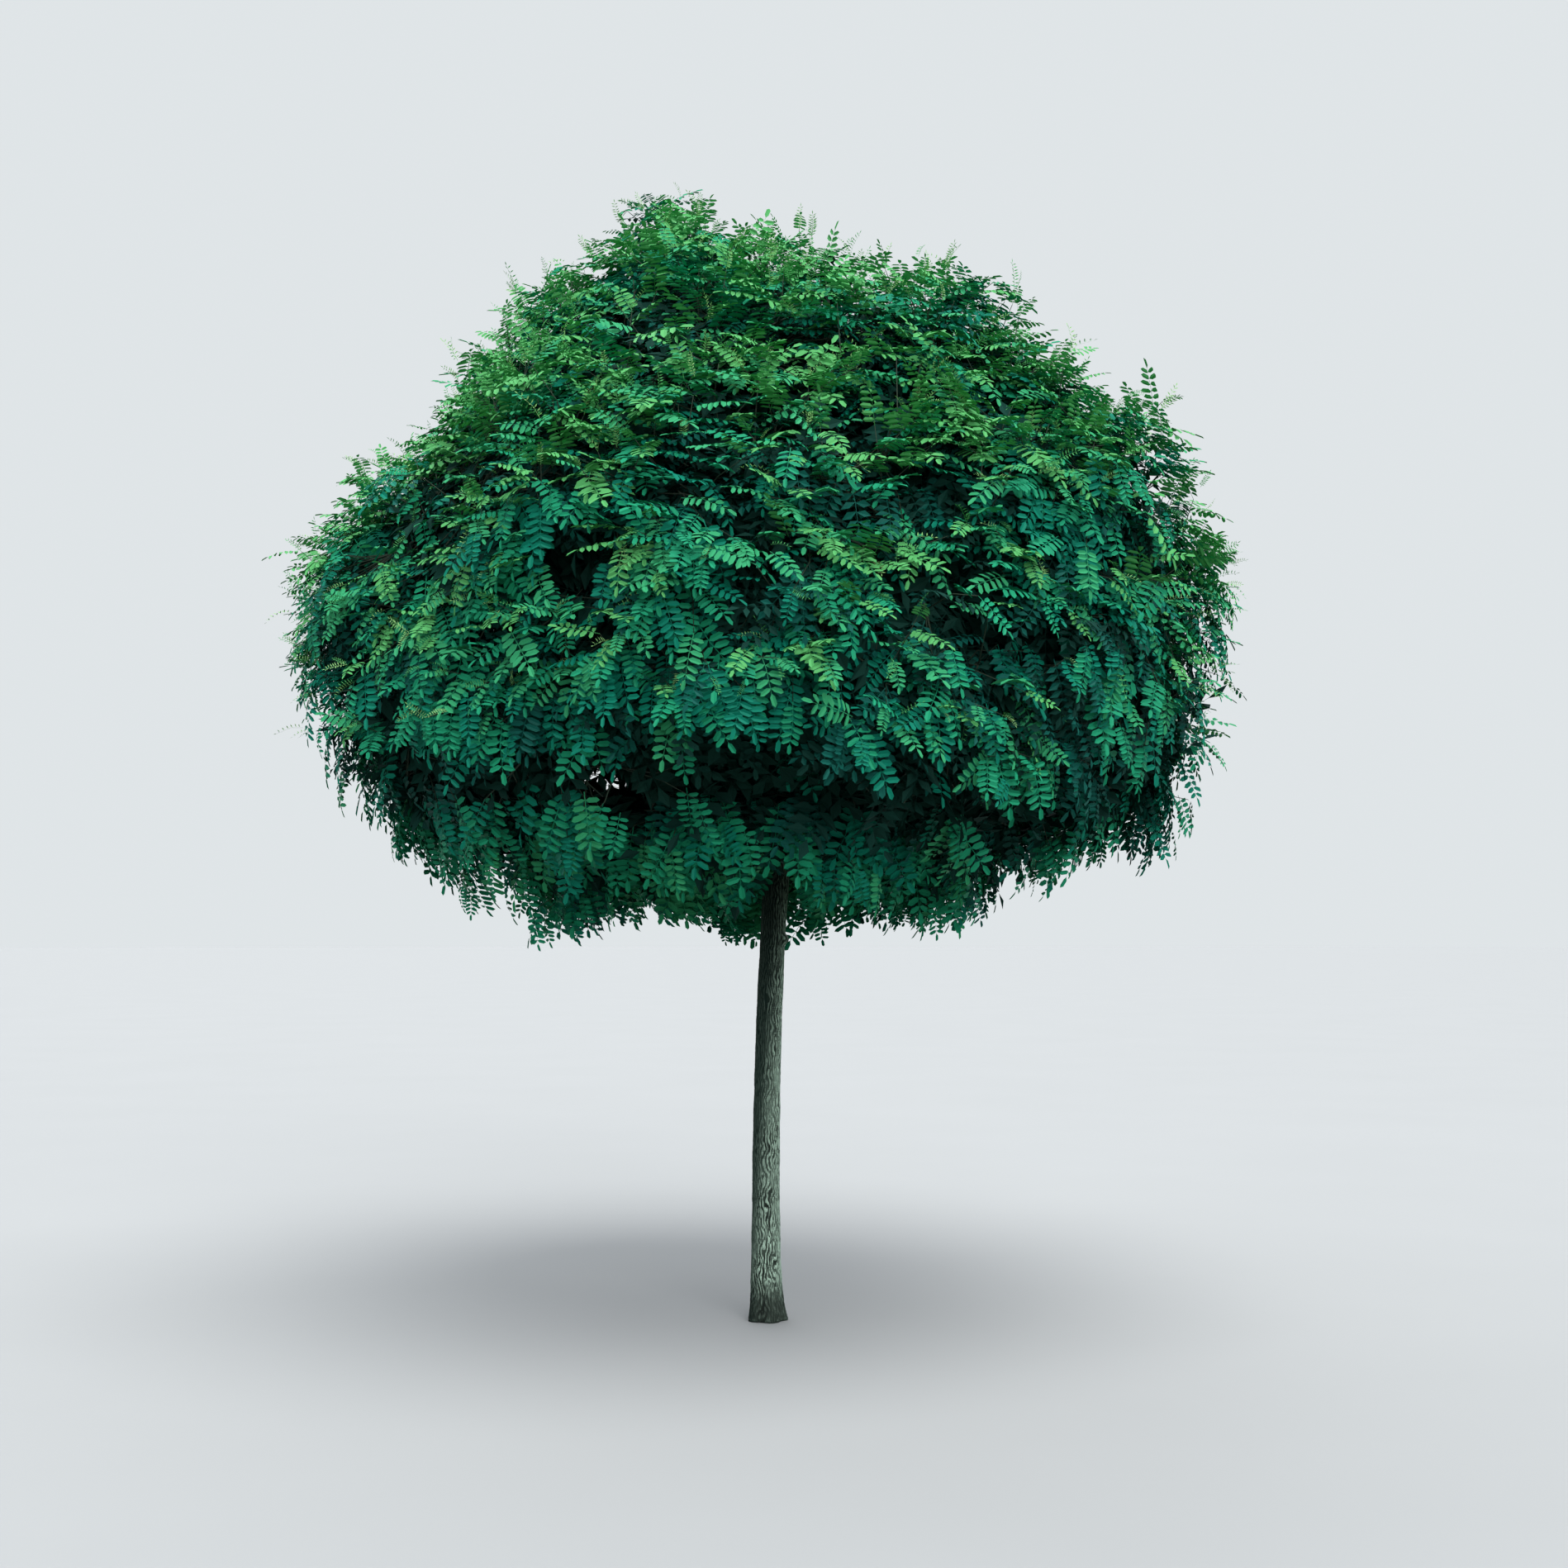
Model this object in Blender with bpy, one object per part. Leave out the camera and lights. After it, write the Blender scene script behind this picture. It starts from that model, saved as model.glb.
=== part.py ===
"""A globe black locust: a round-headed locust grown as a standard on a clear stem.

Metres, +Z up. The origin is the middle of the flat cut under the trunk, at ground level.
The trunk ends in a swollen head. Boughs rise from the head, and further boughs fork from them.
Each bough carries one mass of foliage: a dense core under the crown's surface, twigs that stand
out of it, and leaves on the core and the twigs. One leaf stands for a whole spray of the tree's
own leaves.
"""

import math
import random

import bmesh
import bpy
from mathutils import Matrix, Vector
from mathutils.bvhtree import BVHTree

# The trunk: heights above the ground, with the radius there.
TRUNK_PROFILE = (
    (0.00, 0.082),
    (0.05, 0.074),
    (0.13, 0.0665),
    (0.26, 0.0605),
    (0.45, 0.0575),
    (0.80, 0.0555),
    (1.20, 0.0530),
    (1.60, 0.0515),
    (1.88, 0.0525),
    (2.02, 0.0610),
    (2.13, 0.0720),
    (2.22, 0.0740),
    (2.29, 0.0620),
    (2.33, 0.0380),
)
TRUNK_SIDES = 16
TRUNK_LEAN = 0.062  # how far +X the head stands from the foot
TRUNK_BOW = 0.010  # how far the middle of the stem bends the other way
ROOT_LOBES = 5  # swellings round the foot
ROOT_LOBE_DEPTH = 0.09  # share of the radius, at the ground
ROOT_LOBE_HEIGHT = 0.22
HEAD_HEIGHT = 2.20  # where the main boughs part

# The limbs.
LIMB_GAP = 0.0003  # clear space kept between two pieces that meet
LIMB_CLEAR = 0.006  # how near to a limb a twig or a leaf may come
BOUGH_SIDES = 7
BOUGH_RINGS = 6

# The crown's outline: a dome above its widest height, and a deep bowl below it.
CROWN_RADIUS = 1.92
CROWN_WIDEST = 3.08
CROWN_TOP = 4.78
CROWN_FOOT = 1.64
CROWN_MIDDLE = Vector((0.0, 0.0, 2.85))
DOME_POWER = 1.95
BOWL_POWER = 4.0
DOME_SHIFT = 0.08  # the dome swells this far towards +X half way up
TOP_SHIFT = -0.50  # and its top lies this far along X
TOP_SHIFT_POWER = 5.0
LOBE_DEPTH = 0.025  # share of the radius by which the outline swells and sinks round the crown
LOBE_TURN = 2.83

# The masses of foliage, in rings. The middle of each lies out from the trunk by ring and up by
# height. It faces outwards at a tilt above the level, and its core is a lens: so far out, so far
# in, so far across and so far along the slope. Lean is how much higher the ring stands on its +X
# side. The bough leaves the trunk at a height, or a bough of another ring at a share of its length.
# Past is how far past the crown's outline the leaves may reach.
TIERS = {
    "rim": dict(count=8, turn=0.0, ring=1.57, height=3.06, tilt=12.0, lean=-0.08, stray=0.03,
                lens=(0.21, 0.11, 0.80, 0.68), root=0.0240, tip=0.0120, leave=2.205, rise=50.0,
                twigs=4, leaves=18, past=0.14),
    "top": dict(count=2, turn=174.0, ring=0.48, height=4.28, tilt=80.0, lean=-0.08, stray=0.0,
                lens=(0.24, 0.11, 0.80, 0.66), root=0.0240, tip=0.0125, leave=2.24, rise=84.0,
                twigs=5, leaves=15, past=0.12),
    "skirt": dict(count=5, turn=54.0, ring=0.84, height=2.05, tilt=-52.0, lean=0.05, stray=0.03,
                  lens=(0.17, 0.08, 0.76, 0.66), root=0.0165, tip=0.0105, leave=2.09, rise=14.0,
                  twigs=4, leaves=17, past=0.05),
    "hem": dict(count=7, turn=38.0, ring=1.49, height=2.34, tilt=-20.0, lean=-0.03, stray=0.04,
                lens=(0.20, 0.10, 0.84, 0.60), root=0.0150, tip=0.0100, leave=0.40, rise=4.0,
                twigs=4, leaves=15, past=0.10),
    "shoulder": dict(count=6, turn=20.0, ring=1.08, height=3.76, tilt=47.0, lean=0.02, stray=0.04,
                     lens=(0.22, 0.11, 0.86, 0.76), root=0.0165, tip=0.0105, leave=0.30,
                     rise=62.0, twigs=5, leaves=24, past=0.15),
}
FORKED_TIERS = ("hem", "shoulder")  # their boughs fork from the nearest bough of the rim
CELL_GAP = 0.012  # clear space between two neighbouring masses
CORE_INSET = 0.09  # how far a core keeps below the crown's outline
CORE_ROUGHNESS = 0.15
STEM_LENGTH = 0.045  # of a mass's stem, from the bough's tip to the core

# Twigs and leaves.
GOLDEN_ANGLE = math.pi * (3.0 - math.sqrt(5.0))
TWIG_ROOT = 0.0120
TWIG_TIP = 0.0065
TWIG_SPREAD = 0.80  # how much of the outer side of its mass the twigs stand on
TWIG_PAST_OUTLINE = -0.10  # where a twig ends, from the crown's outline
LEAF_SPREAD = 0.98
LEAF_LENGTH = 0.36
LEAF_WIDTH = 0.155
LEAF_THICK = 0.0060
LEAF_SINK = 0.055  # how deep in the core a leaf's base lies
LEAF_TRIES = 6
TWIG_LEAF_PLACES = (0.74, 0.88, 1.0)  # along the twig; the last is the leaf at its tip

# Shoots that stand out past the crown's outline: tier and number, and the point reached for.
SHOOTS = {
    ("top", 1): (-0.30, -0.06, 4.82),
    ("top", 2): (0.47, 0.10, 4.62),
    ("rim", 5): (-2.04, -0.16, 2.92),
    ("rim", 1): (2.04, -0.18, 2.80),
    ("rim", 7): (0.10, -2.02, 2.78),
    ("rim", 3): (-0.08, 2.02, 2.84),
    ("skirt", 3): (-1.00, -0.40, 1.54),
    ("shoulder", 4): (-1.46, -0.20, 3.98),
    ("shoulder", 1): (1.36, 0.12, 4.10),
}
SHOOT_PAST_OUTLINE = 0.40

BARK = dict(colour=(0.150, 0.128, 0.104, 1.0), roughness=0.92)
BOUGH_BARK = dict(colour=(0.105, 0.088, 0.066, 1.0), roughness=0.90)
LEAF_GREENS = {
    "skirt": (0.012, 0.105, 0.045, 1.0),
    "hem": (0.014, 0.125, 0.048, 1.0),
    "rim": (0.016, 0.150, 0.052, 1.0),
    "shoulder": (0.028, 0.185, 0.045, 1.0),
    "top": (0.045, 0.220, 0.040, 1.0),
}
UP = Vector((0.0, 0.0, 1.0))


# ---- Tools ------------------------------------------------------------------------------------


def clear_scene():
    for obj in list(bpy.data.objects):
        bpy.data.objects.remove(obj, do_unlink=True)


def material(name, colour, roughness):
    made = bpy.data.materials.new(name)
    made.use_nodes = True
    shader = made.node_tree.nodes["Principled BSDF"]
    shader.inputs["Base Color"].default_value = colour
    shader.inputs["Roughness"].default_value = roughness
    shader.inputs["Metallic"].default_value = 0.0
    return made


def object_from(bm, name, collection=None):
    """Turns a bmesh into an object whose place is in its mesh."""
    bmesh.ops.recalc_face_normals(bm, faces=bm.faces)
    mesh = bpy.data.meshes.new(name)
    bm.to_mesh(mesh)
    bm.free()
    made = bpy.data.objects.new(name, mesh)
    (collection or bpy.context.scene.collection).objects.link(made)
    return made


def frames_along(points):
    """A turn for each point that carries +Z along the path, without twist."""
    turns = []
    side = Vector((1.0, 0.0, 0.0))
    for i in range(len(points)):
        before = points[max(i - 1, 0)]
        after = points[min(i + 1, len(points) - 1)]
        forward = (after - before).normalized()
        side = side - forward * side.dot(forward)
        if side.length < 1e-3:
            side = forward.orthogonal()
        side.normalize()
        across = forward.cross(side)
        turns.append(Matrix((side, across, forward)).transposed())
    return turns


def tube(points, radii, sides, swell=None):
    """A closed tapering limb: a circle, its edge extruded from each point of the path to the next."""
    bm = bmesh.new()
    ring = bmesh.ops.create_circle(bm, segments=sides, radius=1.0)["verts"]
    unit = [vert.co.copy() for vert in ring]
    edges = bm.edges[:]
    for i, turn in enumerate(frames_along(points)):
        if i:
            grown = bmesh.ops.extrude_edge_only(bm, edges=edges)["geom"]
            number = {tuple(vert.co): k for k, vert in enumerate(ring)}
            fresh = [item for item in grown if isinstance(item, bmesh.types.BMVert)]
            ring = sorted(fresh, key=lambda vert: number[tuple(vert.co)])
            edges = [item for item in grown if isinstance(item, bmesh.types.BMEdge)]
        for k, vert in enumerate(ring):
            stretch = swell(points[i], k * math.tau / sides) if swell else 1.0
            vert.co = points[i] + turn @ (unit[k] * (radii[i] * stretch))
    bmesh.ops.holes_fill(bm, edges=bm.edges, sides=0)
    return bm


def apply_modifiers(obj):
    graph = bpy.context.evaluated_depsgraph_get()
    graph.update()
    mesh = bpy.data.meshes.new_from_object(obj.evaluated_get(graph))
    obj.modifiers.clear()
    obj.data = mesh


def largest_body(obj):
    """Drops loose scraps and fills sealed hollows: only the biggest closed shell stays."""
    bm = bmesh.new()
    bm.from_mesh(obj.data)
    left = set(bm.faces)
    shells = []
    while left:
        edge_of = [left.pop()]
        shell = set(edge_of)
        while edge_of:
            near = {f for e in edge_of.pop().edges for f in e.link_faces if f in left}
            left -= near
            shell |= near
            edge_of.extend(near)
        shells.append(shell)
    keep = max(shells, key=lambda shell: sum(
        face.calc_center_median().dot(face.normal) * face.calc_area() for face in shell))
    bmesh.ops.delete(bm, geom=[face for face in bm.faces if face not in keep], context="FACES")
    bm.to_mesh(obj.data)
    bm.free()


def cut_clear(obj, limbs):
    """Cuts a limb back from the limbs that it springs from, leaving the gap between them."""
    for bm in limbs:
        cutter = object_from(bm, "cutter")
        cut = obj.modifiers.new("cut", "BOOLEAN")
        cut.operation = "DIFFERENCE"
        cut.solver = "EXACT"
        cut.object = cutter
        apply_modifiers(obj)
        bpy.data.objects.remove(cutter, do_unlink=True)
    largest_body(obj)


def shade(obj, look):
    obj.data.materials.clear()
    obj.data.materials.append(look)
    obj.data.shade_smooth()
    obj.data.set_sharp_from_angle(angle=math.radians(50))


# ---- Trunk ------------------------------------------------------------------------------------


def trunk_middle(height):
    """The middle of the stem at a height: it leans towards +X, with a slight bow."""
    share = height / HEAD_HEIGHT
    return Vector((TRUNK_LEAN * share**2 - TRUNK_BOW * math.sin(math.pi * share), 0.0, height))


def root_swell(point, angle):
    """Lobes round the foot, which fade out up the stem."""
    fade = max(0.0, 1.0 - point.z / ROOT_LOBE_HEIGHT)
    return 1.0 + ROOT_LOBE_DEPTH * fade**2 * math.cos(ROOT_LOBES * angle)


def trunk_bmesh(extra=0.0):
    points = [trunk_middle(height) for height, _ in TRUNK_PROFILE]
    radii = [radius + extra for _, radius in TRUNK_PROFILE]
    points[-1] += UP * extra
    bm = tube(points, radii, TRUNK_SIDES, swell=root_swell)
    for vert in bm.verts:
        if vert.co.z < TRUNK_PROFILE[1][0] / 2:
            vert.co.z = 0.0  # the flat cut at the ground
    return bm


# ---- The crown's outline ----------------------------------------------------------------------


def outside(point, past):
    """Whether a point lies further out than so far past the crown's outline."""
    inwards = (CROWN_MIDDLE - point).normalized()
    x, y, z = point + inwards * past
    if z >= CROWN_WIDEST:
        share = (z - CROWN_WIDEST) / (CROWN_TOP - CROWN_WIDEST)
        width = 1.0 - share**DOME_POWER
        x -= DOME_SHIFT * math.sin(math.pi * share) + TOP_SHIFT * share**TOP_SHIFT_POWER
    else:
        share = (CROWN_WIDEST - z) / (CROWN_WIDEST - CROWN_FOOT)
        width = math.sqrt(max(0.0, 1.0 - share**BOWL_POWER))
    lobes = 1.0 + LOBE_DEPTH * math.cos(5.0 * math.atan2(y, x) + 2.0 * z + LOBE_TURN)
    return math.hypot(x, y) > CROWN_RADIUS * width * lobes


def way_to_outline(start, way, past):
    """How far it is from start, in a direction, to so far past the crown's outline."""
    near, far = 0.0, 2.0
    for _ in range(24):
        middle = (near + far) / 2
        if outside(start + way * middle, past):
            far = middle
        else:
            near = middle
    return near


# ---- Where the masses are ---------------------------------------------------------------------


class Mass:
    """One mass of foliage: its place, the shape of its core, and the space that it keeps to."""

    def __init__(self, tier, number):
        sizes = TIERS[tier]
        self.tier = tier
        self.number = number
        self.sizes = sizes
        self.name = f"{tier}_{number}"
        self.random = random.Random(f"locust {self.name}")
        stray = [self.random.uniform(-1.0, 1.0) * sizes["stray"] for _ in range(3)]
        self.angle = math.radians(sizes["turn"]) + (number - 1) * math.tau / sizes["count"]
        self.angle += stray[0]
        tilt = math.radians(sizes["tilt"])
        out = Vector((math.cos(self.angle), math.sin(self.angle), 0.0))
        height = sizes["height"] + sizes["lean"] * math.cos(self.angle) + stray[1]
        self.heart = out * (sizes["ring"] + stray[2]) + UP * height
        self.facing = out * math.cos(tilt) + UP * math.sin(tilt)
        self.across = UP.cross(out)
        self.slope = self.facing.cross(self.across)
        self.walls = []

    def keeps(self, points, past):
        """Whether points lie on the mass's own side of every wall, and near enough to the crown."""
        gap = CELL_GAP / 2
        return all(
            not outside(point, past)
            and all((point - foot).dot(normal) < -gap for foot, normal in self.walls)
            for point in points)

    def wall_distance(self, way):
        """How far it is from the heart, in a direction, to the nearest wall."""
        nearest = math.inf
        for foot, normal in self.walls:
            speed = way.dot(normal)
            if speed > 1e-6:
                nearest = min(nearest, (foot - self.heart).dot(normal) / speed)
        return nearest

    def core_reach(self, way):
        """How far the core reaches from the heart in a direction: its lens, a wall or the outline."""
        ahead, behind, across, slope = self.sizes["lens"]
        depth = way.dot(self.facing)
        lens = 1.0 / math.sqrt(
            (depth / (ahead if depth > 0.0 else behind)) ** 2
            + (way.dot(self.across) / across) ** 2
            + (way.dot(self.slope) / slope) ** 2)
        below_outline = way_to_outline(self.heart, way, -CORE_INSET)
        return min(lens, self.wall_distance(way) - CELL_GAP, below_outline)

    def way_over_lens(self, x, y, z):
        """The way from the heart to a point of the lens, from the matching point of a ball."""
        ahead, behind, across, slope = self.sizes["lens"]
        depth = z * (ahead if z > 0.0 else behind)
        way = self.across * (x * across) + self.slope * (y * slope) + self.facing * depth
        return way.normalized()

    def spread_way(self, share, number):
        """One of many ways spread evenly over the outer side of the lens, share running inwards."""
        z = 1.0 - share
        flat = math.sqrt(1.0 - z * z)
        angle = number * GOLDEN_ANGLE + self.number
        return self.way_over_lens(flat * math.cos(angle), flat * math.sin(angle), z)

    def core_bmesh(self, shrink):
        """A lumpy lens round the heart, flattened where it meets a neighbour's space."""
        bm = bmesh.new()
        bmesh.ops.create_icosphere(bm, subdivisions=2, radius=1.0)
        lumps = random.Random(f"core {self.name}")
        for vert in bm.verts:
            way = self.way_over_lens(*vert.co.normalized())
            reach = self.core_reach(way) * shrink * lumps.uniform(1.0 - CORE_ROUGHNESS, 1.0)
            vert.co = self.heart + way * reach
        return bm


def lay_out_masses():
    masses = [Mass(tier, n + 1) for tier, sizes in TIERS.items() for n in range(sizes["count"])]
    for mass in masses:
        for other in masses:
            if other is not mass:
                between = other.heart - mass.heart
                mass.walls.append((mass.heart + between / 2, between.normalized()))
    return masses


# ---- Boughs -----------------------------------------------------------------------------------


def arc_between(start, way_out, end, way_in, count):
    """Points on a smooth curve that leaves start one way and comes to end another way."""
    pull = (end - start).length * 0.40
    first = start + way_out * pull
    last = end - way_in * pull
    points = []
    for i in range(count):
        t = i / (count - 1)
        s = 1.0 - t
        points.append(start * s**3 + first * (3 * s * s * t) + last * (3 * s * t * t) + end * t**3)
    return points


class Bough:
    """One tapering limb, from the head or from another bough to the mass that it carries."""

    def __init__(self, mass, boughs):
        sizes = mass.sizes
        self.mass = mass
        self.name = f"bough_{mass.name}"
        if mass.tier in FORKED_TIERS:
            rims = [bough for bough in boughs if bough.mass.tier == "rim"]
            parent = min(rims, key=lambda bough: (bough.mass.heart - mass.heart).length)
            start = parent.point_at(sizes["leave"])
        else:
            start = trunk_middle(sizes["leave"])
        inwards = (mass.heart - start).normalized()
        way_in = (inwards + mass.facing * 0.5).normalized()
        end = mass.heart - way_in * (mass.core_reach(-way_in) + STEM_LENGTH)
        rise = math.radians(sizes["rise"])
        level = Vector((math.cos(mass.angle), math.sin(mass.angle), 0.0))
        if mass.tier == "top":
            start = start + level * 0.034
        way_out = level * math.cos(rise) + UP * math.sin(rise)
        self.points = arc_between(start, way_out, end, way_in, BOUGH_RINGS)
        shares = [i / (BOUGH_RINGS - 1) for i in range(BOUGH_RINGS)]
        shrink = sizes["tip"] - sizes["root"]
        self.radii = [sizes["root"] + shrink * share**0.8 for share in shares]

    def point_at(self, share):
        place = share * (len(self.points) - 1)
        low = int(place)
        return self.points[low].lerp(self.points[low + 1], place - low)

    def bmesh(self, extra=0.0):
        beyond = (self.points[-1] - self.points[-2]).normalized() * extra
        path = self.points[:-1] + [self.points[-1] + beyond]
        return tube(path, [radius + extra for radius in self.radii], BOUGH_SIDES)

    def crossed(self, boughs):
        """The earlier boughs that this one runs into, each swollen by the gap."""
        own = BVHTree.FromBMesh(self.bmesh())
        swollen = [bough.bmesh(LIMB_GAP) for bough in boughs]
        return [bm for bm in swollen if own.overlap(BVHTree.FromBMesh(bm))]

    def stem_bmesh(self):
        """The stem of the mass: from just clear of the bough's tip to the heart."""
        way = (self.points[-1] - self.points[-2]).normalized()
        start = self.points[-1] + way * LIMB_GAP
        radius = self.radii[-1]
        path = [start, start + way * (STEM_LENGTH + 0.01), self.mass.heart]
        return tube(path, [radius, radius, radius * 0.8], 6)


# ---- Foliage ----------------------------------------------------------------------------------


def leaf_bmesh(base, forward, up, length):
    """A leaf of eight faces: a ball of four sides drawn out flat, arched and folded at its rib."""
    bm = bmesh.new()
    bmesh.ops.create_uvsphere(bm, u_segments=4, v_segments=2, radius=1.0)
    width = LEAF_WIDTH * length / LEAF_LENGTH
    across = forward.cross(up).normalized()
    up = across.cross(forward).normalized()
    for vert in bm.verts:
        x, y, z = (round(value) for value in vert.co)
        if z:  # the two poles are the base and the tip
            along = length if z > 0 else 0.0
            lift = -0.14 * length if z > 0 else 0.0
            vert.co = base + forward * along + up * lift
        elif x:  # the two edges
            vert.co = base + forward * (0.46 * length) + across * (x * width / 2) + up * 0.005
        else:  # the rib, above and below
            lift = 0.05 * length + y * LEAF_THICK / 2
            vert.co = base + forward * (0.46 * length) + up * lift
    return bm


def leaf_pose(mass, way, spread, droop):
    """The way that a leaf grows out, and its upper side: it hangs where the crown's side is steep."""
    jitter = Vector((mass.random.uniform(-1, 1) for _ in range(3))) * spread
    steep = 1.0 - max(0.0, mass.facing.z)
    forward = (way * 0.65 + jitter - UP * (0.22 + 0.50 * steep) * droop).normalized()
    upper = UP * 0.9 + mass.facing * 0.7 + jitter * 0.5
    if abs(upper.normalized().dot(forward)) > 0.96:
        upper = forward.orthogonal()
    return forward, upper


class Foliage:
    """Grows the twigs and the leaves of one mass, each kept clear of all that is there."""

    def __init__(self, mass, limb_tree, collection):
        self.mass = mass
        self.limb_tree = limb_tree
        self.collection = collection
        self.trees = []
        self.twigs = 0

    def leaf(self, base_of, way, past, spread, droop=1.0):
        """Tries one leaf in several poses, a little shorter each time, and keeps one that fits."""
        for attempt in range(LEAF_TRIES):
            forward, upper = leaf_pose(self.mass, way, spread + 0.05 * attempt, droop)
            length = LEAF_LENGTH * self.mass.random.uniform(0.88, 1.10) * (1.0 - 0.07 * attempt)
            bm = leaf_bmesh(base_of(forward), forward, upper, length)
            tree = BVHTree.FromBMesh(bm)
            clear = not tree.overlap(self.limb_tree)
            apart = not any(tree.overlap(other) for other in self.trees)
            if clear and apart and self.mass.keeps([vert.co for vert in bm.verts], past):
                self.trees.append(tree)
                object_from(bm, f"leaf_{len(self.trees)}", self.collection)
                return
            bm.free()

    def leaf_on_core(self, way, shrink):
        reach = self.mass.core_reach(way) * shrink
        foot = self.mass.heart + way * (reach * (1.0 - CORE_ROUGHNESS / 2))
        self.leaf(lambda forward: foot - forward * LEAF_SINK, way, self.mass.sizes["past"], 0.25)

    def twig(self, path, past):
        """A twig and its leaves, or nothing where the twig would run into a limb or a neighbour."""
        bm = tube(path, [TWIG_ROOT, (TWIG_ROOT + TWIG_TIP) / 2, TWIG_TIP], 3)
        corners = [vert.co for vert in bm.verts]
        if BVHTree.FromBMesh(bm).overlap(self.limb_tree) or not self.mass.keeps(corners, past):
            bm.free()
            return
        object_from(bm, "twig", self.collection)
        self.twigs += 1
        step = path[2] - path[1]
        run = step.normalized()
        for k, place in enumerate(TWIG_LEAF_PLACES):
            base = path[1] + step * (2.0 * place - 1.0)
            side = run.orthogonal().normalized()
            side.rotate(Matrix.Rotation((k + self.twigs) * GOLDEN_ANGLE * 1.3, 3, run))
            at_tip = k == len(TWIG_LEAF_PLACES) - 1
            way = run if at_tip else (run * 0.6 + side).normalized()
            foot = base - run * (0.03 if at_tip else 0.004)
            self.leaf(lambda forward, foot=foot: foot, way, past, 0.10, 0.3 if at_tip else 1.0)


def build_mass(bough, limb_tree):
    """Core, stem, twigs and leaves of one mass, joined into one solid."""
    mass = bough.mass
    shrink = 1.0
    core = mass.core_bmesh(shrink)
    while BVHTree.FromBMesh(core).overlap(limb_tree):
        core.free()
        shrink *= 0.95
        core = mass.core_bmesh(shrink)
    parts = bpy.data.collections.new(f"parts_{mass.name}")
    bpy.context.scene.collection.children.link(parts)
    object_from(bough.stem_bmesh(), "stem", parts)

    foliage = Foliage(mass, limb_tree, parts)
    if (mass.tier, mass.number) in SHOOTS:
        step = Vector(SHOOTS[mass.tier, mass.number]) - mass.heart
        short = step * (1.0 - 0.92 * LEAF_LENGTH / step.length)
        foliage.twig([mass.heart, mass.heart + short * 0.5, mass.heart + short], SHOOT_PAST_OUTLINE)
    for i in range(mass.sizes["twigs"]):
        way = mass.spread_way((i + 0.5) / mass.sizes["twigs"] * TWIG_SPREAD, i)
        reach = way_to_outline(mass.heart, way, TWIG_PAST_OUTLINE)
        reach = min(reach, mass.wall_distance(way) - CELL_GAP * 2)
        path = [mass.heart, mass.heart + way * (reach * 0.5) + UP * 0.02, mass.heart + way * reach]
        foliage.twig(path, mass.sizes["past"])
    for i in range(mass.sizes["leaves"]):
        way = mass.spread_way((i + 0.5) / mass.sizes["leaves"] * LEAF_SPREAD, i + 0.5)
        foliage.leaf_on_core(way, shrink)

    made = object_from(core, f"mass_{mass.name}")
    join = made.modifiers.new("join", "BOOLEAN")
    join.operation = "UNION"
    join.solver = "EXACT"
    join.operand_type = "COLLECTION"
    join.collection = parts
    apply_modifiers(made)
    for obj in list(parts.objects):
        bpy.data.objects.remove(obj, do_unlink=True)
    bpy.data.collections.remove(parts)
    largest_body(made)
    print(f"{made.name}: {foliage.twigs} twigs, {len(foliage.trees)} leaves, core x{shrink:.2f}")
    return made, len(foliage.trees)


# ---- The tree ---------------------------------------------------------------------------------


def add_limb(limbs, bm):
    """Adds one limb to the mesh that twigs and leaves are tested against."""
    mesh = bpy.data.meshes.new("limb")
    bm.to_mesh(mesh)
    bm.free()
    limbs.from_mesh(mesh)
    bpy.data.meshes.remove(mesh)


def main():
    clear_scene()
    bark = material("trunk_bark", **BARK)
    bough_bark = material("bough_bark", **BOUGH_BARK)
    greens = {tier: material(f"leaves_{tier}", colour, 0.5) for tier, colour in LEAF_GREENS.items()}

    shade(object_from(trunk_bmesh(), "trunk"), bark)
    limbs = bmesh.new()
    add_limb(limbs, trunk_bmesh(LIMB_CLEAR))

    boughs = []
    for mass in lay_out_masses():
        bough = Bough(mass, boughs)
        made = object_from(bough.bmesh(), bough.name)
        cut_clear(made, [trunk_bmesh(LIMB_GAP)] + bough.crossed(boughs))
        shade(made, bough_bark)
        boughs.append(bough)
        add_limb(limbs, bough.bmesh(LIMB_CLEAR))
    limb_tree = BVHTree.FromBMesh(limbs)
    limbs.free()

    leaves = 0
    for bough in boughs:
        made, grown = build_mass(bough, limb_tree)
        shade(made, greens[bough.mass.tier])
        leaves += grown
    print(f"{leaves} leaves on {len(boughs)} masses")


main()
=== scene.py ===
import math
import random
from collections import namedtuple

import bmesh
import bpy
import numpy as np
from mathutils import Matrix, Vector, noise
from mathutils.bvhtree import BVHTree


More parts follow.
